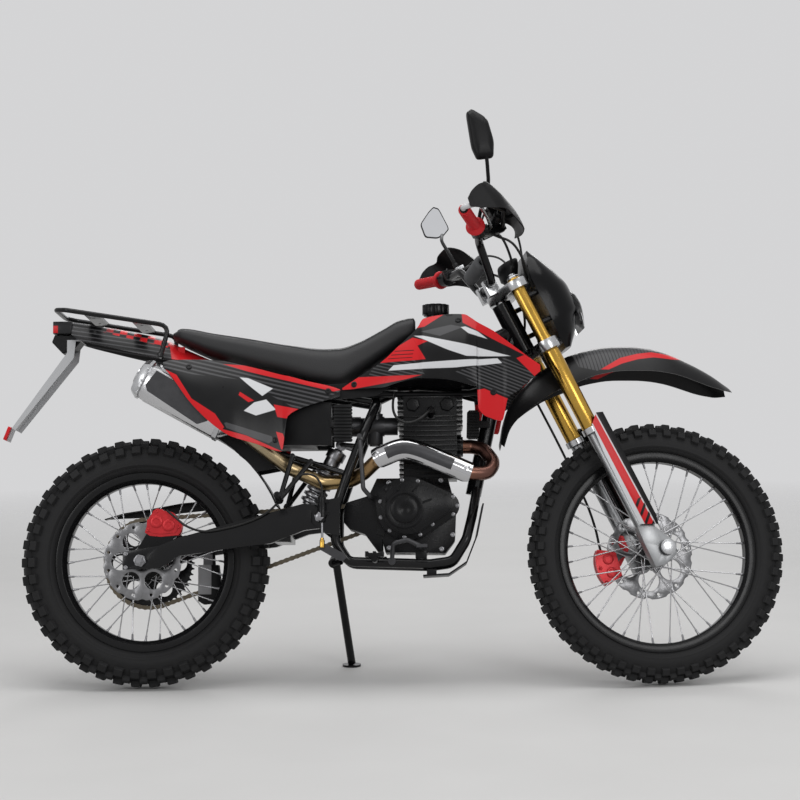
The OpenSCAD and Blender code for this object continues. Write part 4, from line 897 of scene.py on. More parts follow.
# %% [markdown]
# Grips are ribbed rubber sleeves with a flange at the inner end. Turning one profile round the bar's
# own line gives all the ribs at once. The hand guards are curved shields held by the alloy bar that
# runs from the bar end back to the bar, each a grid of points pressed to an even thickness.

# %% Grips and hand guards
GRIP_IN = Vector((-36, 262, BAR_Z + 112))
GRIP_OUT = Vector((-83, 398, BAR_Z + 154))
# rows of place along the guard, y, x and z below, x and z above, bulge
GUARD = [[0, 208, 60, 908, 54, 960, 14], [1, 270, 64, 900, 42, 1026, 14], [2, 330, 58, 902, 20, 1056, 14],
         [3, 380, 34, 938, 4, 1052, 13], [3.6, 406, 18, 955, 2, 1044, 9], [3.9, 418, 2, 963, -8, 1042, 4],
         [4.1, 421, -12, 969, -20, 1043, 1], [4.6, 421, -44, 984, -46, 1036, 0],
         [5, 420, -70, 999, -66, 1022, 0]]


def grip_line(side):
    """The inner end of a grip, the way out along the bar and the length between the ends."""
    start, end = (Vector((p.x, side * p.y, p.z)) for p in (GRIP_IN, GRIP_OUT))
    return start, (end - start).normalized(), (end - start).length


RIBS = 22
FLANGE = [(22, 11.4), (22, 22), (24, 25), (29, 26), (34, 23), (38, 18), (41, 16)]
grips = Shape()
shields = Shape()
for side in (-1, 1):
    start, way, between = grip_line(side)
    length = between - 3
    sleeve = list(FLANGE)
    for i in range(RIBS):
        h = 42 + i * (length - 48) / RIBS
        sleeve += [(h, 15.9), (h + 2, 15.9), (h + 2.6, 14.9), (h + 4, 14.9)]
    grips.turn(sleeve + [(length - 3, 15.9), (length, 15.2), (length, 11.4)], start, way, 32)
    grid = []
    for _, y, x0, z0, x1, z1, bulge in smoothly(GUARD, 6):
        v = np.linspace(0, 1, 17)
        x = x0 + (x1 - x0) * v + bulge * 4 * v * (1 - v)
        z = z0 + (z1 - z0) * v
        grid.append([Vector((a, side * y, b)) for a, b in zip(x, z)][::side])
    pressed(shields, grid, 3.2)
    shields.turn([(37.6, 5), (62, 5)], (0, side * 290, 955), (1, 0, 0), 16)
    shields.bolt((64, side * 290, 955), (1, 0, 0), 4.5, 4)
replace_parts(grips.make("ribbed_grips", "steering", "grip_rubber", STEERING, sharp=30, slot="grip"), "grips")
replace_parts(shields.make("guard_shields", "steering", "moulded_black", STEERING, bevel=0.001, sharp=50,
                         slot="black_plastic"), "hand_guards")
print("grips and shields made")

# %% [markdown]
# Each mirror is a shallow shell on a bent stem, with a glass set just inside its rim. The outline could
# be traced with a curve object. Here its corners are listed and rounded in code, and rings of that
# outline, grown or shrunk, make both the shell and the glass.

# %% Mirrors
MIRROR_RIGHT = [(133, 1466), (147, 1478), (178, 1460), (191, 1446), (206, 1390), (204, 1347), (160, 1340),
                (146, 1372)]
MIRROR_LEFT = [(103, 1338), (128, 1376), (142, 1391), (158, 1386), (188, 1326), (172, 1306), (152, 1297),
               (117, 1299)]
STEM_RIGHT = [(-6, -212, 970.3), (-6, -212, 992), (6, -234, 1014), (34, -290, 1050), (48, -316, 1088),
              straight(184, -334, 1354)]
STEM_LEFT = [(-6, 212, 970.3), (-6, 212, 996), (-5, 222, 1030), (0, 244, 1064), straight(168, 301, 1312)]


def rounded(corners, steps=5):
    """A closed outline with its corners rounded."""
    pts = [np.array(c, float) for c in corners]
    out = []
    for i, b in enumerate(pts):
        a, c = pts[i - 1], pts[(i + 1) % len(pts)]
        p, q = b + (a - b) * 0.2, b + (c - b) * 0.2
        out += [(1 - t) ** 2 * p + 2 * t * (1 - t) * b + t**2 * q for t in np.linspace(0, 1, steps)]
    return out


def grown(outline, grow, y):
    """The outline at a y of its own, grown about its middle."""
    middle = sum(outline, Vector()) / len(outline)
    return [Vector((middle.x + (p.x - middle.x) * grow, y, middle.z + (p.z - middle.z) * grow))
            for p in outline]


mirrors = Shape()
glasses = Shape()
for corners, y_back, y_face in ((MIRROR_RIGHT, -345, -323), (MIRROR_LEFT, 312, 290)):
    outline = [straight(x, 0, z) for x, z in rounded(corners)]
    turn = 1 if y_face > y_back else -1
    dish = [(0.45, y_back), (0.8, y_back + turn * 2.5), (0.95, y_back + turn * 8),
            (1.0, y_back + turn * 15), (1.0, y_face), (0.95, y_face), (0.94, y_face - turn * 2)]
    mirrors.rings([grown(outline, grow, y) for grow, y in dish])
    glasses.rings([grown(outline, 0.93, y_face - turn * back) for back in (1.9, 0.8)])
for stem in (STEM_RIGHT, STEM_LEFT):
    mirrors.tube(curve(stem, 6), 5, 14)
    mirrors.turn([(0, 7.5), (12, 7.5), (14, 6)], stem[0], (0, 0, 1), 6)
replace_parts(mirrors.make("mirror_shells", "steering", "moulded_black", STEERING, sharp=50,
                         slot="black_plastic"), "mirrors")
glasses.make("mirror_glasses", "steering", "mirror_glass", STEERING, sharp=50)
print("mirrors made")

# %% [markdown]
# A drive chain is pairs of waisted plates on rollers, every pair a pitch from the next. The links
# follow the pitch line round both sprockets, and outer and inner pairs take turns. An array along a
# curve would stretch the links, so each one is set between two points of the line. The small drive
# sprocket is here too.

# %% Chain
PITCH = 15.875
REAR_TEETH, DRIVE_TEETH = 48, 14
REAR_R = PITCH / 2 / math.sin(math.pi / REAR_TEETH)
DRIVE = np.array([-105.0, 455.0])
DRIVE_R = 35.7
AXLE = np.array([REAR_X, REAR_Z], float)


def on_circle(centre, radius, degrees):
    """Points of x and z at angles on a circle seen from the right."""
    return [centre + radius * np.array([math.cos(a), math.sin(a)]) for a in np.radians(degrees)]


def pitch_line():
    """Points a pitch apart along the closed line of the chain, in x and z."""
    span = DRIVE - AXLE
    lean = math.degrees(math.atan2(span[1], span[0]))
    wrap = math.degrees(math.acos((REAR_R - DRIVE_R) / np.hypot(*span)))
    arc = on_circle(AXLE, REAR_R, np.linspace(lean + wrap, lean - wrap + 360, 160))
    arc += on_circle(DRIVE, DRIVE_R, np.linspace(lean - wrap, lean + wrap, 60))
    line = np.array(arc + arc[:1])
    run = np.concatenate([[0], np.cumsum(np.hypot(*np.diff(line, axis=0).T))])
    count = 2 * round(run[-1] / PITCH / 2)
    places = np.linspace(0, run[-1], count + 1)
    return np.column_stack([np.interp(places, run, line[:, 0]), np.interp(places, run, line[:, 1])])


LINK_R, WAIST = 6.6, 4.6
links = Shape()
line = pitch_line()
for i, (a, b) in enumerate(zip(line[:-1], line[1:])):
    way = (b - a) / np.hypot(*(b - a))
    across = np.array([-way[1], way[0]])
    outline = [a + (across * math.sin(t) - way * math.cos(t)) * LINK_R for t in np.linspace(-1.2, 1.2, 6)]
    outline += [(a + b) / 2 + across * WAIST]
    outline += [b + (across * math.sin(t) + way * math.cos(t)) * LINK_R for t in np.linspace(1.2, -1.2, 6)]
    outline += [(a + b) / 2 - across * WAIST]
    inset = 0 if i % 2 else 1.7
    for low in (66.4 + inset, 79.8 - inset):
        links.plate([tuple(p) for p in outline], low, low + 1.6)
    links.turn([(66, 3), (82, 3)], (a[0], 0, a[1]), (0, 1, 0), 10)
    off_sprocket = np.hypot(*(a - AXLE)) > REAR_R + 4
    if off_sprocket:
        links.turn([(69.6, 5), (78.4, 5)], (a[0], 0, a[1]), (0, 1, 0), 12)
teeth = [tuple(on_circle(DRIVE, r, [(i + t) * 360 / DRIVE_TEETH])[0]) for i in range(DRIVE_TEETH)
         for t, r in ((-0.25, 31), (-0.1, 39), (0.1, 39), (0.25, 31))]
links.plate(teeth, 70.6, 77.4)
links.turn([(50.4, 12), (82, 12), (84, 11), (84, 6)], (DRIVE[0], 0, DRIVE[1]), (0, 1, 0), 24)
chain = links.make("chain_links", "chassis", "oiled_chain", sharp=40, slot="chain")
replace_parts(chain, "chain")
print("chain of", len(line) - 1, "links")

# %% [markdown]
# Spokes are screwed into the rim by nipples, short sleeves that show at every hole. They could be
# instances of one mesh, but each leans along its own spoke, so each is turned on the line from the rim
# to the hub.

# %% Spoke nipples
SPOKES = 36


def nipples(name, body, place, flange, rim_in, wrap):
    """One for each spoke, from the flange's (radius, lateral place) to the rim's inner radius."""
    shape = Shape()
    for i in range(SPOKES):
        s = 1 if i % 2 == 0 else -1
        lead = 1 if (i // 2) % 2 == 0 else -1
        a = 2 * math.pi * i / SPOKES
        b = a + lead * math.radians(wrap)
        r0, r1 = flange[0] + 2, rim_in + 0.5
        foot = Vector((r0 * math.cos(a), r0 * math.sin(a), s * (flange[1] + 4 * lead)))
        tip = Vector((r1 * math.cos(b), r1 * math.sin(b), s * (5 + 2 * lead)))
        way = (foot - tip).normalized()
        shape.turn([(-2, 4.4), (2, 4), (4, 3), (15, 2.8), (17, 2)], tip, way, 8)
    return shape.make(name, body, "zinc_steel", place, sharp=50, slot="steel")


nipples("front_nipples", "front_wheel", FRONT_AXLE, flange=(36, 28), rim_in=246, wrap=60)
nipples("rear_nipples", "rear_wheel", REAR_AXLE, flange=(48, 34), rim_in=212, wrap=40)
print(2 * SPOKES, "nipples")

# %% [markdown]
# Brake calipers are two cast halves bolted over the disc. The rear one is a lumpy casting with a raised
# face and round caps over its two pistons, and a black carrier holds it to the axle. A block could be
# sculpted, but flat outlines given thickness keep clear of the disc by measure, and a bevel softens
# them like a casting.

# %% Rear caliper
REAR_HALF = [(-682, 412), (-677, 428), (-676, 446), (-666, 452), (-660, 470), (-650, 476), (-636, 474),
             (-628, 467), (-614, 468), (-604, 463), (-597, 450), (-586, 442), (-582, 430), (-585, 414),
             (-592, 404), (-612, 402), (-640, 400), (-668, 403)]
REAR_BRIDGE = [(-672, 450), (-660, 468), (-650, 474), (-614, 466), (-604, 461), (-588, 440), (-608, 412),
               (-622, 424), (-640, 434), (-656, 441)]
CARRIER = [(-712, 330), (-712, 352), (-676, 410), (-664, 414), (-600, 414), (-596, 404), (-668, 330)]
CAST_X, CAST_Z = -632, 438
raised_face = [(CAST_X + (x - CAST_X) * 0.8, CAST_Z + (z - CAST_Z) * 0.8) for x, z in REAR_HALF]
rear_cast = Shape()
for low, high, raised in ((-95, -85, 1.8), (-75.5, -63, 0)):
    rear_cast.plate(REAR_HALF, low, high)
    rear_cast.plate(raised_face, low - raised, high)
rear_cast.plate(REAR_BRIDGE, -93, -65)
for x, z in ((-651, 440), (-618, 431)):
    rear_cast.turn([(0, 16.5), (2.6, 16.5), (4, 14.6), (4, 9), (3, 8)], (x, -95.6, z), (0, -1, 0), 28)
for x, z in ((-650, 468), (-606, 456), (-592, 426), (-674, 418)):
    rear_cast.bolt((x, -95, z), (0, -1, 0), 4.2, 4.5)
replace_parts(rear_cast.make("rear_caliper_cast", "chassis", "red_anodised", bevel=0.0015, slot="red_alloy"),
            "rear_caliper")
carrier = Shape().plate(CARRIER, -94.6, -89.4)
carrier.make("rear_caliper_carrier", "chassis", "engine_satin_black", bevel=0.001, slot="engine_black")
print("rear caliper from an outline of", len(REAR_HALF), "points")

# %% [markdown]
# The front caliper follows an arc round its axle instead. Its halves narrow towards their ends, caps
# show over the pistons, and a bridge outside the disc joins them. An outline could be drawn here too,
# but an arc worked out from the axle always fits the disc.

# %% Front caliper
def caliper(shape, centre, angle, span, near, far, disc_r, faces, flip):
    """Arc shaped halves round an axle. The faces are their y limits, and flip is the side of the caps."""
    def at(r, a):
        return (centre[0] + r * math.cos(a), centre[1] + r * math.sin(a))

    steps = np.linspace(-1, 1, 13)
    arc = [math.radians(angle + span * u) for u in steps]
    outer = [at(far - 7 * abs(u) ** 3, a) for u, a in zip(steps, arc)]
    inner = [at(near + 6 * abs(u) ** 2, a) for u, a in zip(steps, arc)]
    for low, high in faces:
        shape.plate(outer + inner[::-1], low, high)
    ends = (min(f[0] for f in faces), max(f[1] for f in faces))
    bridge = [at(far - 1 - 7 * abs(u) ** 3, a) for u, a in zip(steps, arc)][2:-2]
    shape.plate(bridge + [at(disc_r + 4, a) for a in arc[::-1]][2:-2], ends[0] + 2, ends[1] - 2)
    outside = ends[1] if flip > 0 else ends[0]
    cap = [(-1, 15), (2.2, 15), (3.4, 13.4), (3.4, 9), (2.4, 8)]
    for step in (-0.45, 0.45):
        x, z = at((near + far) / 2 - 4, math.radians(angle + span * step))
        shape.turn(cap, (x, outside, z), (0, flip, 0), 28)
    for step in (-0.82, 0.0, 0.82):
        x, z = at(far - 10, math.radians(angle + span * step))
        shape.bolt((x, outside, z), (0, flip, 0), 4.2, 4)
    return shape


front_cast = caliper(Shape(), (AXLE_AHEAD, 0), angle=168, span=20, near=92, far=156, disc_r=120,
                     faces=((54.5, 64), (72, 83.5)), flip=-1)
front_cast.plate([(-60, 30), (-30, 66), (10, 92), (26, 80), (22, 40), (-20, 10)], 73, 81)
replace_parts(front_cast.make("front_caliper_cast", "steering", "red_anodised", STEERING, bevel=0.0015,
                            slot="red_alloy"), "front_caliper")
print("front caliper", len(front_cast.faces), "faces")

# %% [markdown]
# The chromed heat shield is a long curved shell pressed from sheet, held to the header pipe by two
# screws on bosses. Along its middle lies a dark grey strip that is painted shade: it stands for the
# shaded slit there. A flat sheet could be bent with a curve modifier, but arcs round the pipe's own
# path keep one even gap to the pipe.

# %% Heat shield
HEADER = [(196, -138, 556), (180, -139, 560), (108, -142, 591), (20, -142, 622), (-40, -131, 607),
          (-66, -122, 594)]
SHIELD_R = 29.5
RIGHT = Vector((0, -1, 0))
line = curve(HEADER, 8)[6:-3]
grid = []
for i, p in enumerate(line):
    way = (line[min(i + 1, len(line) - 1)] - line[max(i - 1, 0)]).normalized()
    side = (RIGHT - way * way.dot(RIGHT)).normalized()
    up = side.cross(way)
    up = up if up.z > 0 else -up
    end = min(1, 0.72 + 0.09 * min(i, len(line) - 1 - i))
    grid.append([p + (side * math.cos(a) + up * math.sin(a)) * SHIELD_R
                 for a in np.radians(np.linspace(-62 * end, 118 * end, 19))])
shield = pressed(Shape(), grid, 2.0)
for i in (3, len(line) - 4):
    out = (grid[i][8] - line[i]).normalized()
    shield.turn([(-2, 9), (1.6, 9), (2.4, 7.6), (2.4, 5)], grid[i][8], out, 24)
    shield.bolt(grid[i][8] + out * 2, out, 4.6, 3.4)
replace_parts(shield.make("heat_shield_shell", "chassis", "chrome", bevel=0.0006, sharp=50, slot="chrome"),
            "heat_shield")
# Painted shade: a dark grey strip laid just over the shield's middle stands for its shaded slit.
slit_shade = [[line[i] + (grid[i][j] - line[i]) * 1.035 for j in range(4, 11)]
         for i in range(7, len(line) - 7)]
pressed(Shape(), slit_shade, 1.0).make("heat_shield_slit_shade", "chassis", "gun_grey", sharp=50)
print("heat shield over", len(line), "stations of the pipe")

# %% [markdown]
# The silencer is a can of many flats. A bright cap closes its rear end round the outlet, a band goes
# round its front and a dark plate covers its side. The can's faces could be pulled out by hand, but its
# section, a little larger, makes both cap and band, so they sit close on the can.

# %% Silencer trim
SECTION = [(45, 18), (34, 40), (12, 54), (-18, 54), (-40, 38), (-45, 10), (-42, -26), (-26, -48), (10, -54),
           (34, -42), (45, -18)]
TILT = math.radians(29.1)
SILENCER = (UPRIGHT @ Matrix.Translation((-446, -122, 690))
            @ Matrix(((-math.cos(TILT), 0, math.sin(TILT), 0), (0, 1, 0, 0),
                      (math.sin(TILT), 0, math.cos(TILT), 0), (0, 0, 0, 1))))


def loops(shape, stations):
    """Closed rings of the silencer's section at (distance, scale) stations."""
    return shape.rings([[(d, y * k, z * k) for y, z in SECTION] for d, k in stations])


cap = loops(Shape(), [(262, 1.0), (262, 1.025), (270, 1.025), (284.5, 0.86), (286, 0.8)])
loops(cap, [(22, 1.0), (22, 1.02), (34, 1.02), (34, 1.0)])
cap.turn([(284, 22), (292, 22), (292, 18), (276, 18)], (0, 0, 0), (1, 0, 0), 28)
for y, z in ((-43, 24), (-44, -8), (-34, -38), (44, 0)):
    cap.bolt((266, y * 1.03, z * 1.03), (0, y, z * 0.3), 2.8, 2)
cap.make("silencer_caps", "chassis", "bright_alloy", SILENCER, sharp=30, slot="alloy")
SIDE_PLATE = [(60, -20), (56, 30), (244, 34), (252, -14), (240, -26), (80, -40)]
side_plate = Shape().plate(SIDE_PLATE, -46.6, -44.4)
side_plate.make("silencer_side_plate", "chassis", "gun_grey", SILENCER, bevel=0.001)
print("silencer trim made")

# %% [markdown]
# The engine's covers are held by rows of small flanged screws, and four bolts hold the head. They could
# be copies of one object, but gathered in one mesh they are one piece to keep and to move.

# %% Cover screws
CLUTCH, CLUTCH_BOSS, GENERATOR = (22, 470), (12, 466), (60, 460)


def screw_circle(shape, centre, radius, degrees, y):
    """Screws on a circle of a cover, with their heads out to the side that y is on."""
    for x, z in on_circle(np.array(centre), radius, degrees):
        shape.bolt((x, y, z), (0, math.copysign(1, y), 0), 3.8, 5)


fittings = Shape()
screw_circle(fittings, CLUTCH, 77, range(70, 330, 32), -110.3)
screw_circle(fittings, (122, 476), 30, (-50, 0, 50), -110.3)
screw_circle(fittings, GENERATOR, 67, range(10, 370, 40), 106.5)
for x, z in ((-30, 540), (20, 546), (110, 546), (140, 400), (110, 362), (-30, 366), (140, 505)):
    for side in (-1, 1):
        fittings.bolt((x, side * 86.2, z), (0, side, 0), 4.5, 6)
for x in (30, 134):
    for side in (-1, 1):
        fittings.bolt((x, side * 48, 775), (0, 0, 1), 6, 9)
fittings.make("engine_screws", "chassis", "zinc_steel", slot="steel")
print("screws", len(fittings.faces), "faces")

# %% [markdown]
# Ribs stiffen the clutch cover, like spokes round a raised ring. Round caps on the head close the holes
# for setting the valves, and a rubber cap sits on the spark plug. All are turned or drawn straight on
# the covers.

# %% Ribs and caps
VALVE_CAP = [(64, 20), (72, 20), (75, 18), (76, 12)]
PLUG_CAP = [(64, 14), (70, 14), (72, 9), (92, 8.5), (94, 11), (112, 10), (116, 6)]
ribs = Shape()
for a in range(20, 300, 45):
    c, s = math.cos(math.radians(a)), math.sin(math.radians(a))
    start = Vector((CLUTCH_BOSS[0] + 53 * c, 0, CLUTCH_BOSS[1] + 53 * s))
    end = Vector((CLUTCH[0] + 68 * c, 0, CLUTCH[1] + 68 * s))
    wide = Vector((-s, 0, c)) * 3.4
    corners = (start - wide, start + wide, end + wide * 0.7, end - wide * 0.7)
    ribs.rings([[p + Vector((0, y, 0)) for p in corners] for y in (-129.5, -133.5)])
ribs.turn([(129.5, 37), (131.5, 37), (133, 35), (133, 12), (131.6, 10)],
          (CLUTCH_BOSS[0], 0, CLUTCH_BOSS[1]), (0, -1, 0), 40)
for x in (36, 128):
    for side in (-1, 1):
        ribs.turn(VALVE_CAP, (x, 0, 752), (0, side, 0), 6)
ribs.turn(PLUG_CAP, (84, 0, 706), (0, -1, 0.25), 20)
ribs.turn([(0, 13), (10, 13), (12, 10)], (-28, -108, 520), (0, -1, 0), 8)
ribs.plate([(-64, 404), (-44, 396), (-36, 430), (-58, 440)], -92, -85)
ribs.make("engine_ribs", "chassis", "engine_satin_black", bevel=0.0007, slot="engine_black")
print("ribs", len(ribs.faces), "faces")

# %% [markdown]
# Air cools this engine, so thin fins stand out on both sides of the cylinder and its wider head. The
# finned box ahead of it is the voltage regulator. An array modifier could repeat one fin, but a loop
# can widen the upper ones and skip those behind the valve caps.

# %% Fins and regulator
FIN_LOW, FIN_STEP, FIN_COUNT = 562, 13, 17
HEAD_FIN, CAP_FINS = 10, (13, 14, 15)
fins = Shape()
for i in range(FIN_COUNT):
    if i in CAP_FINS:
        continue
    z = FIN_LOW + i * FIN_STEP
    wide = 0 if i < HEAD_FIN else 4
    for side in (-1, 1):
        root, tip = side * 65.5, side * 72.5
        outline = ((4 - wide, root), (12 - wide, tip), (152 + wide, tip), (162 + wide, root))
        fins.rings([[(x, y, h) for x, y in outline] for h in (z + 0.6, z + 3.4)])
fins.make("cylinder_fins", "chassis", "engine_satin_black", slot="engine_black")

regulator = Shape()
regulator.plate([(180, 664), (182, 732), (188, 738), (210, 738), (216, 730), (214, 668), (208, 660),
                 (186, 660)], -44, -22)
for z in range(666, 731, 8):
    regulator.plate([(184, z), (184, z + 3), (212, z + 3), (212, z)], -54, -43)
regulator.plate([(208, 690), (208, 712), (244, 708), (244, 692)], -34, -28)
regulator.make("regulator", "chassis", "engine_satin_black", bevel=0.0008, slot="engine_black")
print(2 * (FIN_COUNT - len(CAP_FINS)), "fins")

# %% [markdown]
# Thin moulded guards keep mud off: webs beside the rear tyre follow its round, and a skirt hangs from
# the guard over the chain. The wires of the bike are taped into a loom that runs under the tank. Flat
# outlines are enough for the guards, and tubes along a smooth line for the loom.

# %% Guards and loom
web = on_circle(AXLE, 387, range(66, 36, -4))
web += [(-326, 585), (-316, 610), (-338, 662), (-420, 712), (-524, 712)]
webs = Shape()
for low, high in ((-61, -58), (58, 61)):
    webs.plate(web, low, high)
webs.make("mud_guard_webs", "chassis", "moulded_black", bevel=0.0008, slot="black_plastic")

SKIRT = [(-818, 457), (-760, 473.5), (-690, 483.5), (-600, 499.5), (-520, 505.5), (-432, 504.5),
         (-432, 486), (-520, 482), (-600, 474), (-690, 462), (-760, 460)]
skirt = Shape().plate(SKIRT, 91.6, 94.4)
skirt.make("chain_guard_skirt", "chassis", "moulded_black", bevel=0.0008, slot="black_plastic")

LOOM = [(-150, -58, 770), (-60, -62, 781), (40, -62, 780), (140, -60, 780), (206, -50, 784),
        (236, -40, 792)]
LOOM_BESIDE = [(-140, -40, 762), (-50, -44, 779), (60, -30, 781), (160, -30, 781), (220, -24, 790)]
LOOM_COVER = [(-236, 806), (-150, 806), (-60, 800), (-24, 796), (-64, 772), (-170, 764), (-236, 770)]
loom = Shape()
loom.tube(curve(LOOM), 7, 10)
loom.tube(curve(LOOM_BESIDE), 6, 10)
for side in (-1, 1):
    loom.plate(LOOM_COVER, side * 96 - 1.5, side * 96 + 1.5)
loom.make("wire_loom", "chassis", "moulded_black", bevel=0.0006)
print("webs, skirt and loom made")

# %% [markdown]
# On the right a foot pedal works the rear brake: an arm of the pedal lifts a rod, and the rod pushes
# the plunger of a small upright cylinder. They could be one mesh, but the cylinder, the rod, its end
# and the arm have finishes of their own, so each is a piece, set on one upright line.

# %% Rear brake cylinder
PUMP = (-206, -137, 0)
pump = Shape().turn([(432, 6), (434, 9), (444, 10), (446, 13), (480, 13), (484, 11), (500, 11), (503, 7),
                     (512, 7)], PUMP, (0, 0, 1), 20)
for z in (452, 484):
    pump.plate([(-224, z), (-224, z + 10), (-188, z + 10), (-188, z)], -145, -139)
pump.make("rear_brake_pump", "chassis", "engine_satin_black", bevel=0.0006)
rod = Shape().turn([(386, 3.2), (434, 3.2)], PUMP, (0, 0, 1), 12)
rod.make("brake_pump_rod", "chassis", "zinc_steel", slot="steel")
rod_end = Shape().turn([(366, 7), (384, 7), (388, 5), (392, 5)], PUMP, (0, 0, 1), 8)
rod_end.make("brake_rod_end", "chassis", "gold_anodised", bevel=0.0006, slot="gold")
arm = Shape().plate([(-214, 362), (-210, 376), (-198, 376), (-148, 350), (-142, 338), (-152, 330),
                     (-166, 334)], -135.5, -130.5)
arm.turn([(0, 5), (12, 5)], (-206, -130, 369), (0, -1, 0), 12)
arm.make("brake_pedal_arm", "chassis", "gun_grey", bevel=0.0008)
print("rear brake cylinder made")

# %% [markdown]
# A moulded holder under the tail carries the plate's bracket. Nuts close the axle and the swingarm's
# pivot, and wide flat screws hold the panels. A screw set by eye would float or sink, so each is placed
# on the panel by the same sections that made it, facing the way the skin faces there.

# %% Plate holder, nuts and panel screws
HOLDER = [(-866, 940), (-890, 954), (-940, 956), (-948, 936), (-918, 904), (-884, 918)]
holder = Shape().plate(HOLDER, -34, 34)
holder.make("plate_holder", "chassis", "moulded_black", bevel=0.003)

AXLE_NUT = [(0, 17), (3, 17), (3.2, 13), (14, 13), (16, 11), (16, 8), (22, 8)]
PIVOT_NUT = [(0, 15), (2, 15), (2.2, 11.5), (11, 11.5), (12, 10)]
nuts = Shape()
for side in (1, -1):
    nuts.turn(AXLE_NUT, (REAR_X, side * 126.4, REAR_Z), (0, side, 0), 6)
    nuts.turn(PIVOT_NUT, (-212, side * 137.4, 448), (0, side, 0), 6)
    for z in (REAR_Z - 18, REAR_Z + 18):
        nuts.bolt((-728, side * 126.4, z), (0, side, 0), 4, 4)
nuts.make("axle_nuts", "chassis", "zinc_steel", slot="steel")


def skin_point(rows, x, v, side):
    """A point on a side skin, part v of the way up, and the skin's way out there."""
    table = np.array(rows, float)
    low, high, y_low, y_high, belly = (np.interp(x, table[:, 0], table[:, k]) for k in range(1, 6))
    y = y_low + (y_high - y_low) * v + belly * 4 * v * (1 - v)
    lean = (y_low - y_high - belly * 4 * (1 - 2 * v)) / max(high - low, 1)
    return (x, side * y, low + (high - low) * v), (0, side, lean)


PANEL_SCREW = [(-1, 8.5), (1.2, 8.5), (2.2, 7), (2.2, 4), (0.8, 3.6)]
screws = Shape()
for side in (-1, 1):
    for rows, x, v in ((SHROUD, 160, 0.9), (SHROUD, -120, 0.5), (SHROUD, 250, 0.3), (PANEL, -560, 0.8),
                       (PANEL, -190, 0.6), (PANEL, -330, 0.12)):
        place, way = skin_point(rows, x, v, side)
        screws.turn(PANEL_SCREW, place, way, 24)
screws.make("panel_screws", "chassis", "moulded_black", slot="black_plastic")
print("nuts and screws made")

# %% [markdown]
# Beside each grip sits a switch box, and beside that the perch that clamps the lever. The right one
# carries the front brake's cylinder with its fluid box on top, and a union takes the hose. They could
# be built upright and turned into place, but drawn in the steering's own frame they fit the bar from
# the start.

# %% Controls on the bar
CORNERS = ((-1, -1), (1, -1), (1, 1), (-1, 1))
boxes = Shape()
for side in (-1, 1):
    start, way, _ = grip_line(side)
    boxes.turn([(-14, 17), (-12, 20), (14, 20), (17, 17), (18, 12)], start, way, 20)
    boxes.turn([(-6, 14), (4, 14), (5, 11)], start + Vector((20, 0, -6)), (1, 0, -0.3), 12)
    for k in (-6, 6):
        boxes.turn([(0, 4), (5, 4), (6, 3)], start + way * k + Vector((-16, 0, 10)), (-0.6, 0, 0.8), 10)
boxes.make("switch_boxes", "steering", "moulded_black", STEERING, bevel=0.0008, slot="black_plastic")
union = Shape().turn([(0, 9), (30, 9), (34, 7)], (12, -214, 957), (0.3, 1, 0), 20)
union.make("brake_hose_union", "steering", "engine_satin_black", STEERING, bevel=0.0015)

PERCH_Y = 231
PERCH = ((-28, 968, 0.9), (-10, 962, 1.0), (20, 952, 0.9), (44, 946, 0.7), (52, 944, 0.4))
perch = Shape()
for side in (-1, 1):
    sections = [[(x - 20 * k, side * (PERCH_Y + 15 * sy * k), z + 15 * sz * k) for sy, sz in CORNERS]
                for x, z, k in PERCH]
    perch.rings([section[::side] for section in sections])
    perch.turn([(-9, 8), (9, 8), (10, 6)], (30, side * PERCH_Y, 944), (0, 0, 1), 16)
    perch.bolt((-30, side * PERCH_Y, 978), (-0.5, 0, 1), 4, 5)
perch.make("lever_perches", "steering", "engine_satin_black", STEERING, bevel=0.002, slot="black_plastic")

FLUID_X, FLUID_Y = 28, -256
cylinder = Shape().turn([(0, 10), (3, 14), (58, 14), (62, 12), (62, 9), (74, 9), (76, 7)],
                        (18, -226, 964), (0.16, -1, 0.14), 24)
cylinder.rings([[(FLUID_X + 17 * sx * k, FLUID_Y + 21 * sy * k, z) for sx, sy in CORNERS]
                for z, k in ((976, 0.8), (980, 0.95), (1000, 1), (1000, 1.07), (1005, 1.07), (1006, 0.97))])
for corner in (-1, 1):
    cylinder.bolt((FLUID_X + 12 * corner, FLUID_Y + 15 * corner, 1005.5), (0, 0, 1), 2.6, 2)
cylinder.make("front_brake_cylinder", "steering", "engine_satin_black", STEERING, bevel=0.0015)
print("controls made")

# %% [markdown]
# Ahead of the bar clamps an oval pod holds the instruments under a dark glass. Screw caps close the
# tops of the fork tubes, and a big nut the steering stem. Ovals stacked at a slant give the pod's lean
# without turning it afterwards.

# %% Instrument pod and fork caps
def oval(x, z, half_x, half_y):
    return [(x + half_x * math.cos(a), half_y * math.sin(a), z)
            for a in np.linspace(0, 2 * math.pi, 32, endpoint=False)]


pod = Shape().rings([oval(52 + lift * 0.35, 838 + lift, 30 * k, 46 * k)
                     for lift, k in ((0, 0.5), (10, 0.85), (30, 1.0), (46, 1.0), (50, 0.94), (49, 0.86))])
pod.turn([(0, 6), (24, 6)], (40, 0, 820), (0, 0, 1), 12)
pod.make("instrument_pod", "steering", "moulded_black", STEERING, sharp=40)
face = Shape().rings([oval(69, 887.6 + h, 25 * k, 38.5 * k) for h, k in ((0, 1), (1.2, 0.98), (2, 0.6))])
face.make("instrument_glass", "steering", "lamp_smoke", STEERING, sharp=50)

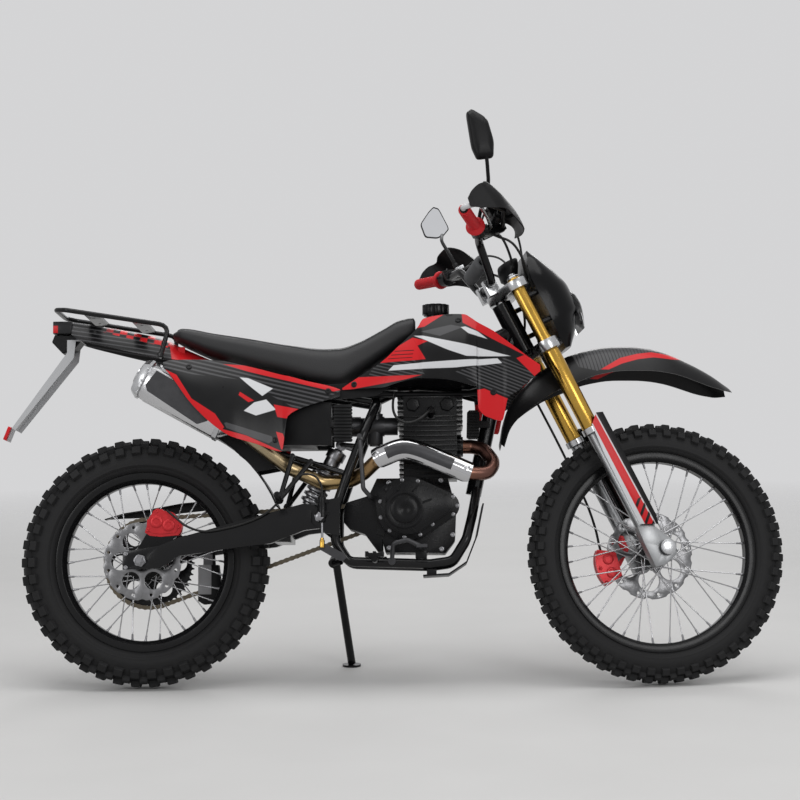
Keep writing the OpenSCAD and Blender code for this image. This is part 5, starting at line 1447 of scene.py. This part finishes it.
FORK_X, FORK_Y = 35, 100
tops = Shape()
for side in (-1, 1):
    tops.turn([(829, 17), (833, 17), (835, 15), (835, 10), (841, 10), (842, 8)],
              (FORK_X, side * FORK_Y, 0), (0, 0, 1), 6)
    tops.turn([(10, 20), (18, 20), (20, 15)], (AXLE_AHEAD, side * 118, 0), (0, side, 0), 24)
    for z in (26, -18):
        tops.bolt((AXLE_AHEAD + 22, side * 112, z), (1, 0, 0), 4, 5)
    tops.turn([(-19, 27), (-19, 25.6), (-3, 25.6), (-3, 27), (-19, 27)],
              (FORK_X, side * FORK_Y, 380), (0, 0, 1), 40)
tops.turn([(821, 16), (826, 16), (828, 13), (828, 6)], (0, 0, 0), (0, 0, 1), 6)
tops.make("fork_caps", "steering", "bright_alloy", STEERING, bevel=0.0008, slot="alloy")
print("pod and fork caps made")

# %% [markdown]
# Hoses and cables are springy, so they leave their fittings straight and turn in wide curves. The brake
# hose runs down behind the left fork leg, the control cables go round in front of the clamps into the
# mask, and the spark lead loops from the plug up to the coil under the tank. A curve object with a
# bevel would draw the same tube, but points in a list also give the length along the route.

# %% Hoses and cables
def hose(name, body, place, points, diameter):
    path = curve(points, 8)
    piece = Shape().tube(path, diameter / 2, 10).make(name, body, "hose_black", place, sharp=60)
    world = [place @ p for p in path]
    length = sum((b - a).length for a, b in zip(world, world[1:]))
    print(name, round(length, 3), "m")


hose("front_brake_hose", "steering", STEERING, [
    (12, -176, 961), (34, -150, 958), (56, -116, 938), (67, -72, 900), (68, -20, 842), (68, 36, 782),
    (60, 84, 728), (38, 126, 682), (10, 134, 632), (-2, 128, 570), (-4, 122, 490), (-5, 118, 400),
    (-8, 116, 300), (-14, 113, 200), (-26, 106, 134), (-40, 96, 92), (-48, 88, 68)], 7)
hose("clutch_cable", "steering", STEERING, [
    (12, 200, 957), (40, 190, 962), (72, 164, 958), (90, 126, 934), (94, 90, 900), (88, 62, 862),
    (80, 48, 820)], 6)
hose("throttle_cable", "steering", STEERING, [
    (-16, -258, 980), (10, -250, 1000), (44, -228, 1004), (76, -188, 988), (94, -140, 952), (98, -98, 908),
    (88, -70, 858), (80, -56, 812)], 6)
hose("switch_wires", "steering", STEERING, [
    (-12, -250, 948), (14, -236, 926), (40, -206, 914), (62, -168, 898), (76, -130, 868), (80, -100, 828),
    (79, -84, 786)], 7)
hose("left_wires", "steering", STEERING, [
    (-12, 250, 948), (14, 236, 930), (42, 206, 920), (64, 168, 904), (78, 132, 872), (80, 102, 830),
    (79, 86, 788)], 7)
hose("rear_brake_hose", "chassis", UPRIGHT, [
    (-206, -137, 510), (-208, -137, 532), (-226, -138, 556), (-258, -138, 560), (-288, -137, 536),
    (-312, -134, 500), (-350, -131, 462), (-400, -130, 437), (-460, -130, 420), (-520, -130, 412),
    (-566, -126, 426), (-600, -112, 452), (-622, -100, 470)], 6)
hose("spark_lead", "chassis", UPRIGHT, [
    (84, -110, 733), (84, -128, 733), (79, -147, 726), (64, -159, 710), (42, -161, 697), (18, -153, 695),
    (-3, -137, 706), (-15, -116, 728), (-17, -95, 756), (-12, -78, 784)], 7)

# %% [markdown]
# The studio is a pale floor that fades into a pale surround, a wide soft light overhead and softer ones
# in front and behind. A curved backdrop would catch shadows and hide the far side from other views, so
# the floor turns clear with distance instead. The surround is a plain grey-white for the camera and for
# reflections alike, and lights the bike about half as strongly as it shows.

# %% Studio
def studio():
    made, shader = finish("studio_floor", {"Roughness": 0.8, "Specular IOR Level": 0.15})
    tree = Wire.tree
    x, y = (Wire.node("ShaderNodeSeparateXYZ", {0: at_rest()}, out=k) for k in (0, 1))
    far = (x * x + y * y).calc("POWER", 0.5).over(4.0, 3.0)
    feed(shader, Base_Color=mixed(spots(3), (0.6, 0.597, 0.59), (0.64, 0.637, 0.63)))
    clear = Wire.node("ShaderNodeBsdfTransparent")
    joined = Wire.node("ShaderNodeMixShader", {0: far, 1: Wire(shader.outputs[0]), 2: clear})
    tree.links.new(joined.socket, tree.nodes["Material Output"].inputs["Surface"])
    mesh = bpy.data.meshes.new("studio_floor")
    mesh.from_pydata([(-8, -8, 0), (8, -8, 0), (8, 8, 0), (-8, 8, 0)], [], [[0, 1, 2, 3]])
    mesh.materials.append(made)
    floor = bpy.data.objects.new("studio_floor", mesh)
    bpy.context.scene.collection.objects.link(floor)
    world = bpy.data.worlds.new("surround")
    bpy.context.scene.world = world
    world.use_nodes = True
    Wire.tree = world.node_tree
    path = Wire.tree.nodes.new("ShaderNodeLightPath")
    seen = Wire(path.outputs["Is Camera Ray"])
    for name in ("Is Glossy Ray", "Is Transmission Ray"):
        seen = seen.calc("MAXIMUM", Wire(path.outputs[name]))
    back = Wire.tree.nodes["Background"]
    back.inputs["Color"].default_value = (0.66, 0.66, 0.668, 1)
    Wire.tree.links.new((seen * 0.45 + 0.55).socket, back.inputs["Strength"])


def soft_light(name, place, aim, size, power):
    lamp = bpy.data.lights.new(name, "AREA")
    lamp.shape = "RECTANGLE"
    lamp.size, lamp.size_y = size
    lamp.energy = power
    made = bpy.data.objects.new(name, lamp)
    made.location = place
    made.rotation_mode = "QUATERNION"
    made.rotation_quaternion = (Vector(aim) - Vector(place)).to_track_quat("-Z", "Y")
    bpy.context.scene.collection.objects.link(made)


studio()
soft_light("over_light", (0, -0.4, 4.2), (0, 0, 0.6), (4.5, 2.6), 105)
soft_light("front_light", (2.2, -4.5, 2.6), (0, 0, 0.7), (2.0, 2.0), 62)
soft_light("side_light", (-3.2, -3.8, 2.2), (0, 0, 0.6), (1.6, 1.8), 36)
soft_light("back_light", (0.5, 4.5, 3.0), (0, 0, 0.8), (3.5, 1.4), 55)
bpy.context.scene.view_settings.view_transform = "Standard"
print("studio ready")
